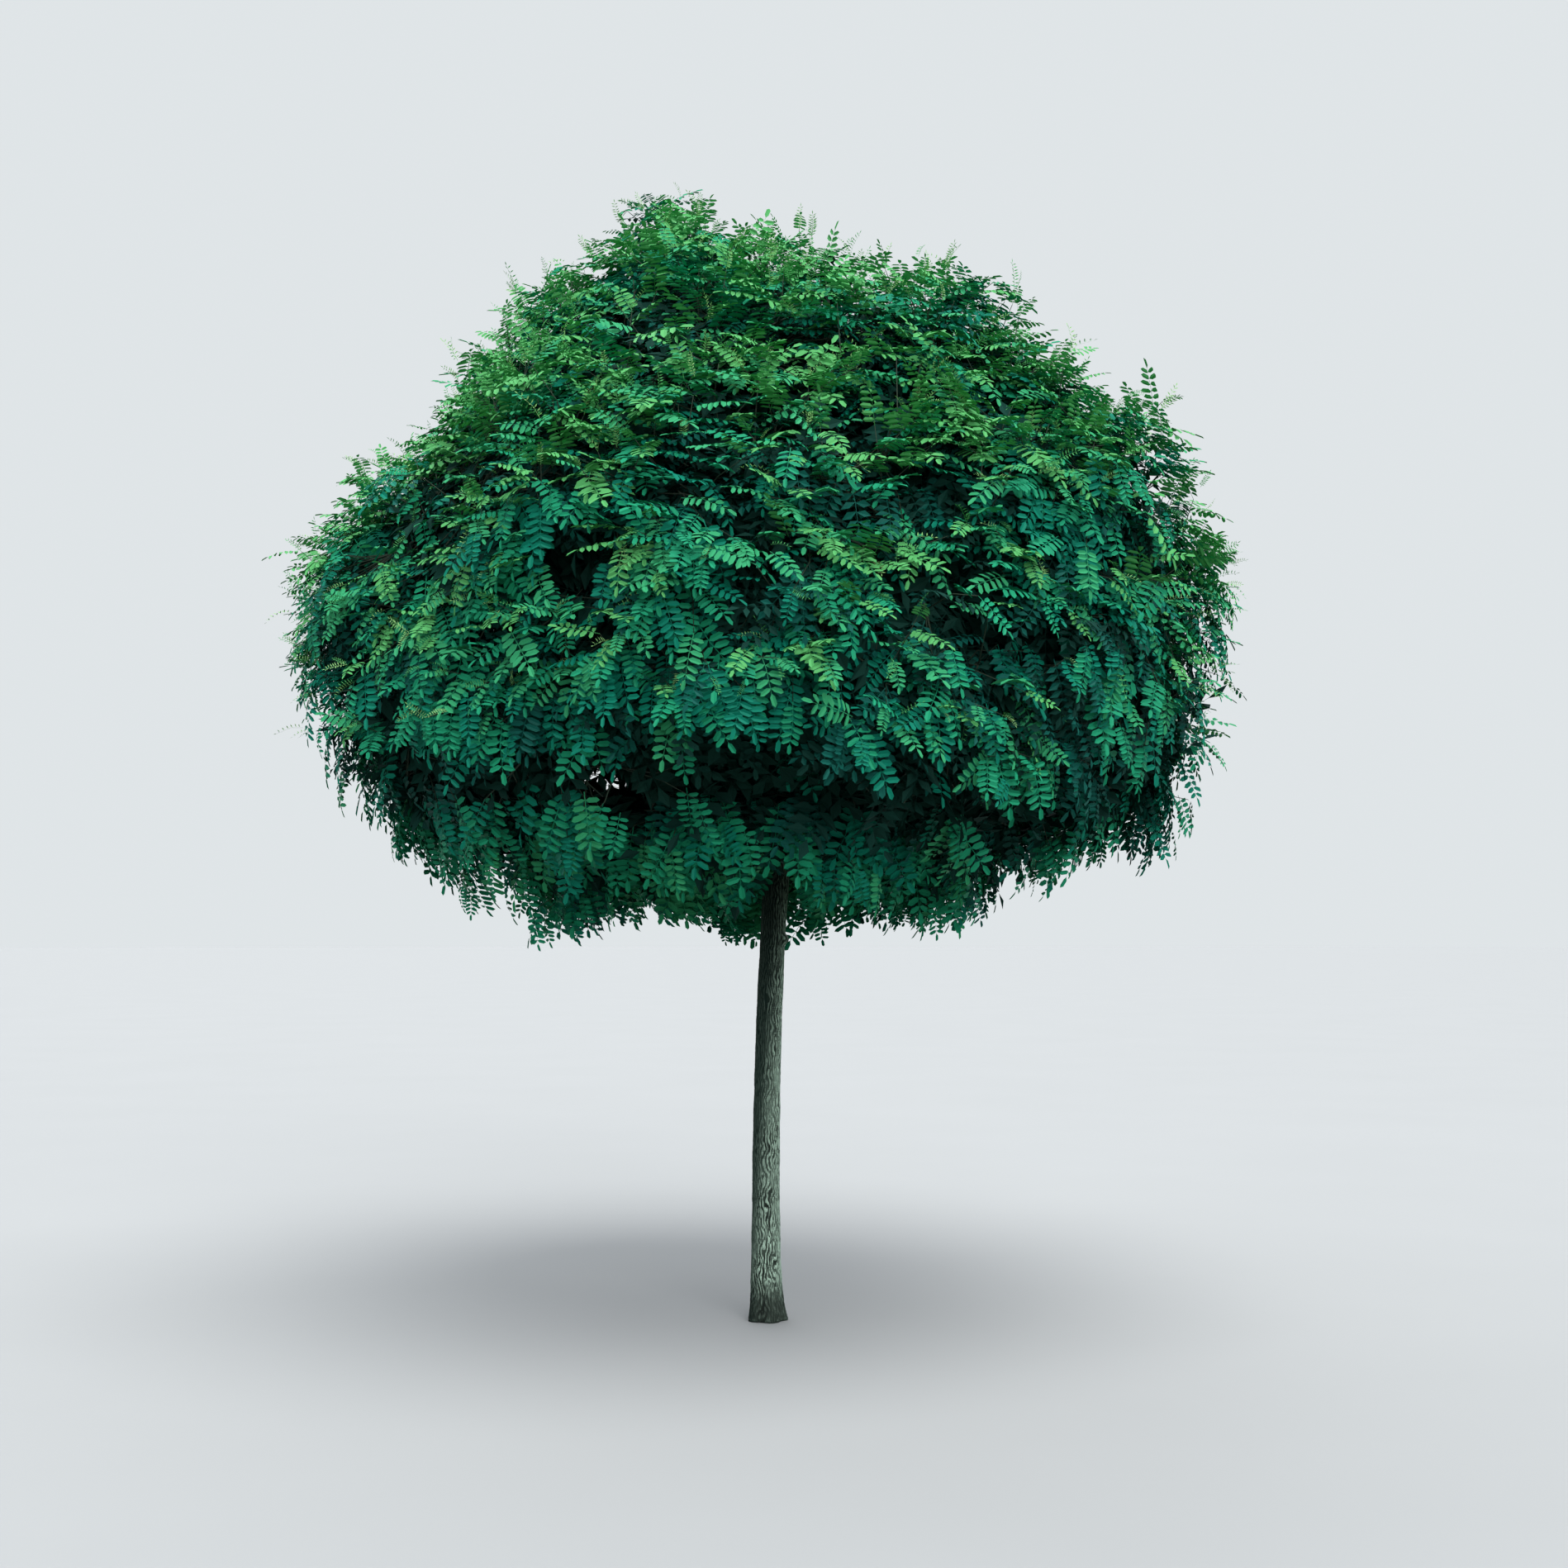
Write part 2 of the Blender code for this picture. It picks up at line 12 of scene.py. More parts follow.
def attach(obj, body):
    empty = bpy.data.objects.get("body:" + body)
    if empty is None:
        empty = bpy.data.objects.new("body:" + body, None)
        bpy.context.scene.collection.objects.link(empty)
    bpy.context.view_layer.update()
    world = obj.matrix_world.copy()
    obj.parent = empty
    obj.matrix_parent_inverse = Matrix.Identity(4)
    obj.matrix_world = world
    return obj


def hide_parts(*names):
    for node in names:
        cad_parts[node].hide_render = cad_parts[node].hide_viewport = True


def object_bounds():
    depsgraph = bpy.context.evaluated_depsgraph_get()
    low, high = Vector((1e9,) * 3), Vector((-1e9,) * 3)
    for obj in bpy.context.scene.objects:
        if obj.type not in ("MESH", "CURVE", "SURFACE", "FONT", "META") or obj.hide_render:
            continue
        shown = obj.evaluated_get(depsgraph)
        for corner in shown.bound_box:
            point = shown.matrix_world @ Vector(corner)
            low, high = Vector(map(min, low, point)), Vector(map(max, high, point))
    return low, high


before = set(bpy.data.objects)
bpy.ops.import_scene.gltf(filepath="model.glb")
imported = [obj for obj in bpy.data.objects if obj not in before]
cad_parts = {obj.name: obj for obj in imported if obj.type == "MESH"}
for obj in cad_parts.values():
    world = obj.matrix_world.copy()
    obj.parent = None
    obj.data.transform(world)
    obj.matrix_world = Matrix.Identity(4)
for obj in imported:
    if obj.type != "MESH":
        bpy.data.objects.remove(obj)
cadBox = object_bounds()
up = Vector((0.0, 0.0, 1.0))
goldenAngle = math.pi * (3.0 - math.sqrt(5.0))


# Shader maths: a Value wraps a socket, and Python's operators add the Math nodes.
class Value:
    def __init__(self, finish, socket):
        self.finish = finish
        self.socket = socket

    def maths(self, operation, first, second):
        return self.finish.node("ShaderNodeMath", {"operation": operation}, {0: first, 1: second})

    def __add__(self, other):
        return self.maths("ADD", self, other)

    def __sub__(self, other):
        return self.maths("SUBTRACT", self, other)

    def __rsub__(self, other):
        return self.maths("SUBTRACT", other, self)

    def __mul__(self, other):
        return self.maths("MULTIPLY", self, other)

    __radd__ = __add__
    __rmul__ = __mul__


class Finish:
    def __init__(self, name, **constants):
        self.material = bpy.data.materials.new(name)
        self.material.use_nodes = True
        self.tree = self.material.node_tree
        self.shader = self.tree.nodes["Principled BSDF"]
        self.set(**constants)

    def plug(self, socket, value):
        if isinstance(value, Value):
            self.tree.links.new(value.socket, socket)
        else:
            socket.default_value = value

    def set(self, **values):
        for key, value in values.items():
            self.plug(self.shader.inputs[key.replace("_", " ")], value)

    # Any node: its kind, its settings, its sockets by name or number, and which output is wanted.
    def node(self, kind, settings=None, sockets=None, output=0):
        made = self.tree.nodes.new(kind)
        for key, value in (settings or {}).items():
            if key == "stops":
                ramp = made.color_ramp.elements
                while len(ramp) < len(value):
                    ramp.new(0.5)
                for stop, (place, colour) in zip(ramp, value):
                    stop.position = place
                    stop.color = colour
            else:
                setattr(made, key, value)
        for key, value in (sockets or {}).items():
            self.plug(made.inputs[key], value)
        return Value(self, made.outputs[output])

    def place(self):
        return self.node("ShaderNodeTexCoord", output="Object")

    def stretched(self, scale):
        return self.node("ShaderNodeMapping", sockets={"Vector": self.place(), "Scale": scale})

    def placeAlong(self, axis):
        return self.node("ShaderNodeSeparateXYZ", sockets={"Vector": self.place()}, output=axis)

    def noise(self, where, scale, detail=4.0, roughness=0.55):
        return self.node("ShaderNodeTexNoise", sockets={
            "Vector": where, "Scale": scale, "Detail": detail, "Roughness": roughness})

    def attribute(self, name):
        return self.node("ShaderNodeAttribute", {"attribute_name": name}, output="Fac")

    def step(self, value, low, high, first=0.0, last=1.0):
        return self.node("ShaderNodeMapRange", {"interpolation_type": "SMOOTHSTEP"}, {
            "Value": value, "From Min": low, "From Max": high, "To Min": first, "To Max": last})

    def ramp(self, value, *stops):
        return self.node("ShaderNodeValToRGB", {"stops": stops}, {"Fac": value})

    def mix(self, factor, first, second):
        return self.node("ShaderNodeMix", {"data_type": "RGBA"},
                         {0: factor, 6: first, 7: second}, output=2)

    def bump(self, height, strength, distance):
        return self.node("ShaderNodeBump", sockets={
            "Strength": strength, "Distance": distance, "Height": height})


def rgb(red, green, blue, share=1.0):
    return (red * share, green * share, blue * share, 1.0)


# the camera's place, its lens in mm and its shift upwards
view = {"place": (0.073, -8.05, 1.62), "lens": 43.62, "rise": 185 / 1898}

camera = bpy.data.objects.new("camera", bpy.data.cameras.new("camera"))
bpy.context.scene.collection.objects.link(camera)
camera.location = view["place"]
camera.rotation_euler = (math.radians(90.0), 0.0, 0.0)
camera.data.sensor_width = 36.0
camera.data.lens = view["lens"]
camera.data.shift_y = view["rise"]
bpy.context.scene.camera = camera

studio = {
    "floorColour": (0.43, 0.445, 0.455), "floorRadius": 300.0,
    "backdrop": (0.742, 0.782, 0.802),
    # light from all round, by how high it comes from: below, level, above
    "round": [(0.40, (0.10, 0.12, 0.10)), (0.54, (0.50, 0.52, 0.54)), (0.95, (0.80, 0.84, 0.88))],
    # name, way it shines, how wide it is in degrees, strength and colour
    "lamps": [
        ("overhead", (-0.20, 0.42, -1.0), 46.0, 2.5, (1.0, 0.99, 0.96)),
        ("front", (-0.30, 1.00, -0.40), 34.0, 1.15, (1.0, 1.0, 1.0)),
        ("behind", (0.25, -0.9, -0.8), 55.0, 0.6, (0.96, 0.98, 1.0)),
    ],
}


def linked(name, data):
    made = bpy.data.objects.new(name, data)
    bpy.context.scene.collection.objects.link(made)
    return made


def meshFrom(bm, name):
    mesh = bpy.data.meshes.new(name)
    bm.to_mesh(mesh)
    bm.free()
    return mesh


def layFloor():
    bm = bmesh.new()
    bmesh.ops.create_circle(bm, cap_ends=True, segments=96, radius=studio["floorRadius"])
    bmesh.ops.translate(bm, verts=bm.verts, vec=(0.0, 0.0, -0.002))
    mesh = meshFrom(bm, "floor")
    floor = linked("floor", mesh)
    finish = Finish("pale_floor", Roughness=0.85)
    cloud = finish.noise(finish.place(), 0.6, 3.0)
    pale = rgb(*studio["floorColour"])
    shade = rgb(*studio["floorColour"], 0.95)
    finish.set(Base_Color=finish.mix(cloud, shade, pale))
    mesh.materials.append(finish.material)
    floor.visible_diffuse = False  # what comes from below is set with the light all round


def hangLamps():
    for name, way, width, strength, colour in studio["lamps"]:
        lamp = bpy.data.lights.new(name, "SUN")
        lamp.angle = math.radians(width)
        lamp.energy = strength
        lamp.color = colour
        linked(name, lamp).rotation_euler = Vector(way).to_track_quat("-Z", "Y").to_euler()


def paintSurroundings():
    world = bpy.data.worlds.new("studio")
    bpy.context.scene.world = world
    world.use_nodes = True
    tree = world.node_tree
    ambient = tree.nodes["Background"]
    where = tree.nodes.new("ShaderNodeTexCoord")
    parts = tree.nodes.new("ShaderNodeSeparateXYZ")
    share = tree.nodes.new("ShaderNodeMapRange")
    share.inputs["From Min"].default_value = -1.0
    ramp = tree.nodes.new("ShaderNodeValToRGB")
    ramp.color_ramp.elements.new(0.5)
    for stop, (place, colour) in zip(ramp.color_ramp.elements, studio["round"]):
        stop.position = place
        stop.color = rgb(*colour)
    tree.links.new(where.outputs["Generated"], parts.inputs[0])
    tree.links.new(parts.outputs["Z"], share.inputs["Value"])
    tree.links.new(share.outputs[0], ramp.inputs[0])
    tree.links.new(ramp.outputs[0], ambient.inputs["Color"])
    seen = tree.nodes.new("ShaderNodeBackground")
    seen.inputs["Color"].default_value = rgb(*studio["backdrop"])
    path = tree.nodes.new("ShaderNodeLightPath")
    either = tree.nodes.new("ShaderNodeMixShader")
    tree.links.new(path.outputs["Is Camera Ray"], either.inputs[0])
    tree.links.new(ambient.outputs[0], either.inputs[1])
    tree.links.new(seen.outputs[0], either.inputs[2])
    tree.links.new(either.outputs[0], tree.nodes["World Output"].inputs["Surface"])


layFloor()
hangLamps()
paintSurroundings()
bpy.context.scene.view_settings.view_transform = "Standard"
print("camera, floor and light are set")


# The crown's rule: its outline, its masses and the boughs that carry them.
crown = {
    "radius": 1.92, "widest": 3.08, "top": 4.78, "foot": 1.64, "middle": Vector((0.0, 0.0, 2.85)),
    "domePower": 1.95, "bowlPower": 4.0, "domeShift": 0.08, "topShift": -0.50,
    "topShiftPower": 5.0, "lobeDepth": 0.025, "lobeTurn": 2.83,
    "spaceGap": 0.012, "coreInset": 0.09, "stemLength": 0.045,
    "boughPoints": 26, "topApart": 0.034,  # how far off the trunk's middle the top boughs leave it
}

tiers = {
    "rim": dict(count=8, turn=0.0, ring=1.57, height=3.06, tilt=12.0, lean=-0.08, stray=0.03,
                lens=(0.21, 0.11, 0.80, 0.68), root=0.0240, tip=0.0120, leave=2.205, rise=50.0,
                twigs=20),
    "top": dict(count=2, turn=174.0, ring=0.48, height=4.28, tilt=80.0, lean=-0.08, stray=0.0,
                lens=(0.24, 0.11, 0.80, 0.66), root=0.0240, tip=0.0125, leave=2.24, rise=84.0,
                twigs=24),
    "skirt": dict(count=5, turn=54.0, ring=0.84, height=2.05, tilt=-52.0, lean=0.05, stray=0.03,
                  lens=(0.17, 0.08, 0.76, 0.66), root=0.0165, tip=0.0105, leave=2.09, rise=14.0,
                  twigs=16),
    "hem": dict(count=7, turn=38.0, ring=1.49, height=2.34, tilt=-20.0, lean=-0.03, stray=0.04,
                lens=(0.20, 0.10, 0.84, 0.60), root=0.0150, tip=0.0100, leave=0.40, rise=4.0,
                twigs=16),
    "shoulder": dict(count=6, turn=20.0, ring=1.08, height=3.76, tilt=47.0, lean=0.02, stray=0.04,
                     lens=(0.22, 0.11, 0.86, 0.76), root=0.0165, tip=0.0105, leave=0.30,
                     rise=62.0, twigs=22),
}
forkedTiers = ("hem", "shoulder")


# Whether a point, brought towards the crown's middle by past, still lies outside the outline.
def outside(point, past):
    inwards = (crown["middle"] - point).normalized()
    x, y, z = point + inwards * past
    if z >= crown["widest"]:
        share = (z - crown["widest"]) / (crown["top"] - crown["widest"])
        width = 1.0 - share ** crown["domePower"]
        x -= crown["domeShift"] * math.sin(math.pi * share)
        x -= crown["topShift"] * share ** crown["topShiftPower"]
    else:
        share = (crown["widest"] - z) / (crown["widest"] - crown["foot"])
        width = math.sqrt(max(0.0, 1.0 - share ** crown["bowlPower"]))
    turn = 5.0 * math.atan2(y, x) + 2.0 * z + crown["lobeTurn"]
    lobes = 1.0 + crown["lobeDepth"] * math.cos(turn)
    return math.hypot(x, y) > crown["radius"] * width * lobes


def wayToOutline(start, way, past):
    near, far = 0.0, 2.6
    for _ in range(22):
        middle = (near + far) / 2
        if outside(start + way * middle, past):
            far = middle
        else:
            near = middle
    return near


class Mass:
    def __init__(self, tier, number):
        sizes = tiers[tier]
        self.tier = tier
        self.number = number
        self.sizes = sizes
        self.name = f"{tier}_{number}"
        own = random.Random(f"locust {self.name}")
        stray = [own.uniform(-1.0, 1.0) * sizes["stray"] for _ in range(3)]
        self.angle = math.radians(sizes["turn"]) + (number - 1) * math.tau / sizes["count"]
        self.angle += stray[0]
        tilt = math.radians(sizes["tilt"])
        out = Vector((math.cos(self.angle), math.sin(self.angle), 0.0))
        height = sizes["height"] + sizes["lean"] * math.cos(self.angle) + stray[1]
        self.heart = out * (sizes["ring"] + stray[2]) + up * height
        self.facing = out * math.cos(tilt) + up * math.sin(tilt)
        self.across = up.cross(out)
        self.slope = self.facing.cross(self.across)
        self.walls = []
        self.twigs = []

    def wallDistance(self, way):
        nearest = math.inf
        for foot, normal in self.walls:
            speed = way.dot(normal)
            if speed > 1e-6:
                nearest = min(nearest, (foot - self.heart).dot(normal) / speed)
        return nearest

    def coreReach(self, way):
        ahead, behind, across, slope = self.sizes["lens"]
        depth = way.dot(self.facing)
        lens = 1.0 / math.sqrt(
            (depth / (ahead if depth > 0.0 else behind)) ** 2
            + (way.dot(self.across) / across) ** 2
            + (way.dot(self.slope) / slope) ** 2)
        belowOutline = wayToOutline(self.heart, way, -crown["coreInset"])
        return min(lens, self.wallDistance(way) - crown["spaceGap"], belowOutline)

    # One of many ways spread evenly over the outer side of the mass.
    def spreadWay(self, share, number):
        ahead, behind, across, slope = self.sizes["lens"]
        z = 1.0 - share
        flat = math.sqrt(1.0 - z * z)
        turn = number * goldenAngle + self.number
        depth = z * (ahead if z > 0.0 else behind)
        way = self.across * (flat * math.cos(turn) * across)
        way += self.slope * (flat * math.sin(turn) * slope) + self.facing * depth
        return way.normalized()


def layOutMasses():
    found = [Mass(tier, n + 1) for tier, sizes in tiers.items() for n in range(sizes["count"])]
    for mass in found:
        for other in found:
            if other is not mass:
                between = other.heart - mass.heart
                mass.walls.append((mass.heart + between / 2, between.normalized()))
    return found


def curveBetween(start, wayOut, end, wayIn, count, pull=0.40):
    reach = (end - start).length * pull
    first = start + wayOut * reach
    last = end - wayIn * reach
    points = []
    for i in range(count):
        t = i / (count - 1)
        s = 1.0 - t
        points.append(start * s**3 + first * (3 * s * s * t) + last * (3 * s * t * t) + end * t**3)
    return points


# The point at a share of the way along a path, and the number of the stretch it lies on.
def alongPath(path, share):
    place = share * (len(path) - 1)
    low = min(int(place), len(path) - 2)
    return path[low].lerp(path[low + 1], place - low), low


trunk = {
    "profile": ((0.00, 0.082), (0.05, 0.074), (0.13, 0.0665), (0.26, 0.0605), (0.45, 0.0575),
                (0.80, 0.0555), (1.20, 0.0530), (1.60, 0.0515), (1.88, 0.0525), (2.02, 0.0610),
                (2.13, 0.0720), (2.22, 0.0740), (2.29, 0.0620), (2.33, 0.0380)),
    "lean": 0.062, "bow": 0.010, "headHeight": 2.20,
    "rootLobes": 5, "rootLobeDepth": 0.09, "rootLobeHeight": 0.22,
    "sides": 184, "rings": 260,
}


def trunkMiddle(height):
    share = height / trunk["headHeight"]
    across = trunk["lean"] * share**2 - trunk["bow"] * math.sin(math.pi * share)
    return Vector((across, 0.0, height))


class Bough:
    def __init__(self, mass, earlier):
        sizes = mass.sizes
        self.mass = mass
        self.name = f"bough_{mass.name}"
        if mass.tier in forkedTiers:
            rims = [bough for bough in earlier if bough.mass.tier == "rim"]
            parent = min(rims, key=lambda bough: (bough.mass.heart - mass.heart).length)
            start, _ = alongPath(parent.chord, sizes["leave"])
        else:
            start = trunkMiddle(sizes["leave"])
        inwards = (mass.heart - start).normalized()
        wayIn = (inwards + mass.facing * 0.5).normalized()
        end = mass.heart - wayIn * (mass.coreReach(-wayIn) + crown["stemLength"])
        rise = math.radians(sizes["rise"])
        level = Vector((math.cos(mass.angle), math.sin(mass.angle), 0.0))
        if mass.tier == "top":
            start = start + level * crown["topApart"]
        wayOut = level * math.cos(rise) + up * math.sin(rise)
        self.chord = curveBetween(start, wayOut, end, wayIn, 6)
        self.points = curveBetween(start, wayOut, end, wayIn, crown["boughPoints"])
        shrink = sizes["tip"] - sizes["root"]
        last = crown["boughPoints"] - 1
        self.radii = [sizes["root"] + shrink * (i / last) ** 0.8 for i in range(last + 1)]


masses = layOutMasses()
boughs = []
for eachMass in masses:
    boughs.append(Bough(eachMass, boughs))
print(f"{len(masses)} masses on {len(boughs)} boughs are laid out")


bark = {
    "furrows": 15, "ridgeLong": 0.080,  # pairs of furrows round the stem, and how long they waver
    # strength, and how fine it is round the stem and along it
    "wavers": ((5.6, 20.0, 1.0), (2.2, 58.0, 2.6)), "breaks": (0.38, 95.0, 60.0),
    "ridgeEdges": (0.14, 0.86),
    "depth": 0.0072, "proud": 0.0018, "swell": 0.0022, "grain": 0.0007,
    "footScales": (85.0, 0.35),  # how fine, and how much they take over from the furrows
    "knob": (1.61, -0.30, 0.017, 0.020),  # height, angle, how proud and how wide
    "boughDepth": 0.0016, "boughSides": 11, "boughRings": 38, "boughCollar": 0.35,
}


def smoothStep(value, low, high):
    share = min(1.0, max(0.0, (value - low) / (high - low)))
    return share * share * (3.0 - 2.0 * share)


def trunkRadius(height):
    found = trunk["profile"]
    for (low, first), (high, last) in zip(found, found[1:]):
        if height <= high:
            return first + (last - first) * (height - low) / (high - low)
    return found[-1][1]


# How high the bark stands at a point of the surface: 0 in a furrow, 1 on a ridge. The furrows climb
# the stem in wavering lines that run together and part again, and short cracks cross the ridges.
def barkHeight(point, angle):
    bend = 0.0
    for strength, across, along in bark["wavers"]:
        spot = Vector((point.x * across, point.y * across, point.z * along / bark["ridgeLong"]))
        bend += strength * noise.noise(spot)
    strength, across, along = bark["breaks"]
    broken = strength * noise.noise(Vector((point.x * across, point.y * across, point.z * along)))
    return smoothStep(abs(math.sin(bark["furrows"] * angle + bend)) + broken, *bark["ridgeEdges"])


# An upright stem of radius 1, from 0 to 1, to be bent into shape.
def roundStem(sides, rings):
    bm = bmesh.new()
    bmesh.ops.create_cone(bm, cap_ends=True, segments=sides, radius1=1.0, radius2=1.0, depth=1.0)
    bmesh.ops.translate(bm, verts=bm.verts, vec=(0.0, 0.0, 0.5))
    upright = [edge for edge in bm.edges if abs(edge.verts[0].co.z - edge.verts[1].co.z) > 0.5]
    bmesh.ops.subdivide_edges(bm, edges=upright, cuts=rings - 2, use_grid_fill=True)
    return bm


# Each vertex keeps the bark's height for its finish.
def barkPiece(name, bm, heights):
    mesh = meshFrom(bm, name)
    layer = mesh.attributes.new("relief", "FLOAT", "POINT")
    layer.data.foreach_set("value", heights)
    mesh.shade_smooth()
    return linked(name, mesh)


def buildTrunk():
    bm = roundStem(trunk["sides"], trunk["rings"])
    top = trunk["profile"][-1][0]
    fineness, share = bark["footScales"]
    knobHeight, knobAngle, knobProud, knobWide = bark["knob"]
    heights = []
    for vert in bm.verts:
        angle = math.atan2(vert.co.y, vert.co.x)
        height = vert.co.z * top
        fade = max(0.0, 1.0 - height / trunk["rootLobeHeight"])
        radius = trunkRadius(height)
        radius *= 1.0 + trunk["rootLobeDepth"] * fade**2 * math.cos(trunk["rootLobes"] * angle)
        out = Vector((math.cos(angle), math.sin(angle), 0.0))
        spot = trunkMiddle(height) + out * radius
        foot = 1.0 - smoothStep(height, 0.02, 0.24)  # the flare is finely scaly
        relief = barkHeight(spot, angle)
        if foot > 0.0:
            scales = abs(noise.noise(Vector((spot.x, spot.y, spot.z * 0.5)) * fineness))
            relief += (smoothStep(scales, 0.0, 0.3) - relief) * share * foot
        swell = noise.fractal(spot * 7.0, 0.9, 2.0, 3) * bark["swell"]
        grain = noise.fractal(spot * 130.0, 0.8, 2.1, 3) * bark["grain"]
        lift = bark["proud"] + (relief - 1.0) * bark["depth"] * (1.0 - 0.25 * foot) + swell + grain
        away = math.hypot(height - knobHeight, (angle - knobAngle) * radius) / knobWide
        lift += knobProud * math.exp(-away**4)
        vert.co = trunkMiddle(height) + out * (radius + lift)
        vert.co.z = height
        heights.append(relief)
    return barkPiece("trunk_bark", bm, heights)


# A pair of directions across a curve at each of its points, carried along without twisting.
def framesAlong(points):
    frames = []
    way = (points[1] - points[0]).normalized()
    side = way.orthogonal().normalized()
    for i, point in enumerate(points):
        ahead = points[min(i + 1, len(points) - 1)] - points[max(i - 1, 0)]
        way = ahead.normalized()
        side = (side - way * side.dot(way)).normalized()
        frames.append((point, side, way.cross(side)))
    return frames


def buildBoughs():
    joined = bmesh.new()
    heights = []
    for bough in boughs:
        bm = roundStem(bark["boughSides"], bark["boughRings"])
        frames = framesAlong(bough.points)
        last = len(frames) - 1
        for vert in bm.verts:
            place = vert.co.z * last
            low = min(int(place), last - 1)
            share = place - low
            middle, side, other = (first.lerp(second, share)
                                   for first, second in zip(frames[low], frames[low + 1]))
            radius = bough.radii[low] + (bough.radii[low + 1] - bough.radii[low]) * share
            angle = math.atan2(vert.co.y, vert.co.x)
            out = side * math.cos(angle) + other * math.sin(angle)
            spot = middle + out * radius
            relief = smoothStep(abs(noise.noise(spot * 42.0)), 0.02, 0.30)
            # swollen where it leaves its parent
            flare = bark["boughCollar"] * max(0.0, 1.0 - place / 3.0) ** 2
            swell = noise.noise(spot * 13.0) * 0.10
            thickness = radius * (1.0 + flare + swell) + (relief - 1.0) * bark["boughDepth"]
            vert.co = middle + out * thickness
            heights.append(relief)
        mesh = meshFrom(bm, "bough")
        joined.from_mesh(mesh)
        bpy.data.meshes.remove(mesh)
    return barkPiece("bough_bark", joined, heights)


def barkFinish(name, ridge, furrowAndShade, mossAndShade, mossAndShadeFrom):
    finish = Finish(name)
    relief = finish.attribute("relief")
    blotch = finish.noise(finish.stretched((9.0, 9.0, 3.5)), 1.6)
    grain = finish.noise(finish.stretched((70.0, 70.0, 22.0)), 1.6, 6.0, 0.65)
    high = finish.placeAlong("Z")
    streak = finish.noise(finish.stretched((150.0, 150.0, 17.0)), 1.0, 3.0)
    plates = finish.ramp(grain, (0.30, rgb(*ridge, 0.42)), (0.66, rgb(*ridge)))
    crest = relief + (streak - 0.5) * 0.80 + (grain - 0.5) * 0.70
    # Furrows and cracks take the near-black furrow colour: partly the bark's own darker furrows,
    # partly painted shade in them.
    wood = finish.mix(finish.step(crest, 0.54, 1.04), rgb(*furrowAndShade), plates)
    cracks = finish.noise(finish.stretched((85.0, 85.0, 22.0)), 1.0, 1.0)
    cracks = finish.node("ShaderNodeMath", {"operation": "ABSOLUTE"}, {0: cracks - 0.5})
    wood = finish.mix(finish.step(cracks, 0.0, 0.045, 0.90, 0.0), wood, rgb(*furrowAndShade))
    weathered = finish.mix(finish.step(blotch, 0.35, 0.70, 0.0, 0.55), wood, rgb(*ridge, 0.55))
    # Painted shade and moss: the bark turns near-black green higher up and on the −X side, partly
    # real algae, partly painted shade from the crown and on the side away from the light.
    side = finish.placeAlong("X")
    greeningAndShade = finish.step(high + (blotch - 0.5) * 0.5 - side * 13.0, *mossAndShadeFrom, 0.0, 0.92)
    soil = finish.step(high + (grain - 0.5) * 0.12, 0.07, 0.20, 0.86, 0.0)
    footed = finish.mix(soil, weathered, rgb(*furrowAndShade))
    finish.set(
        Base_Color=finish.mix(greeningAndShade, footed, rgb(*mossAndShade)),
        Roughness=finish.step(relief, 0.0, 1.0, 0.97, 0.82),
        Normal=finish.bump(grain, 0.55, 0.0016),
        Specular_IOR_Level=0.25)
    return finish.material


trunkPiece = buildTrunk()
trunkPiece.data.materials.append(barkFinish(
    "grey_furrowed_bark", (0.62, 0.86, 0.70), (0.008, 0.013, 0.010), (0.007, 0.022, 0.017),
    (0.35, 1.50)))
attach(trunkPiece, "root")
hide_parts("trunk")
boughPiece = buildBoughs()
boughPiece.data.materials.append(barkFinish(
    "dark_bough_bark", (0.050, 0.056, 0.046), (0.010, 0.012, 0.009), (0.010, 0.018, 0.014),
    (1.2, 2.2)))
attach(boughPiece, "root")
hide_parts(*(bough.name for bough in boughs))
spots, faces = [], []  # of the limbs, to keep leaves clear
for piece in (trunkPiece, boughPiece):
    before = len(spots)
    spots += [vert.co for vert in piece.data.vertices]
    faces += [[index + before for index in face.vertices] for face in piece.data.polygons]
limbTree = BVHTree.FromPolygons(spots, faces)
print(f"bark: {len(trunkPiece.data.polygons)} faces on the trunk, "
      f"{len(boughPiece.data.polygons)} on the boughs")


# A few patterns of feathered leaf, modelled once and joined many times.
leaf = {
    "leafletLength": 0.240, "leafletWidth": 0.094, "fold": 0.20,  # shares of the leaf's length
    "bareStalk": 0.15,
    # pairs of leaflets; how the leaf arches, bends and hangs its leaflets; if they are folded;
    # and how long and how wide they are
    "patterns": {
        "level": (6, 0.08, 0.03, 0.12, True, 1.0, 1.0),
        "arched": (7, 0.26, -0.05, 0.28, True, 1.0, 0.95),
        "swept": (6, 0.20, 0.14, 0.20, True, 1.0, 1.0),
        "turned": (6, 0.22, -0.13, 0.10, True, 1.0, 1.0),
        "short": (5, 0.16, 0.05, 0.30, True, 1.1, 1.12),
        "hooked": (6, 0.42, 0.02, 0.26, True, 1.0, 1.0),
        "plain": (5, 0.16, 0.06, 0.22, False, 1.05, 1.25),
        "plainBent": (6, 0.32, -0.08, 0.28, False, 1.05, 1.25),
        "inner": (5, 0.20, 0.04, 0.20, False, 1.3, 1.5),
        "innerBent": (5, 0.35, -0.10, 0.30, False, 1.3, 1.5),
        "young": (8, 0.30, 0.10, -0.40, False, 0.72, 0.42),
        "curled": (6, 0.75, -0.10, -0.60, False, 0.66, 0.48),
    },
}


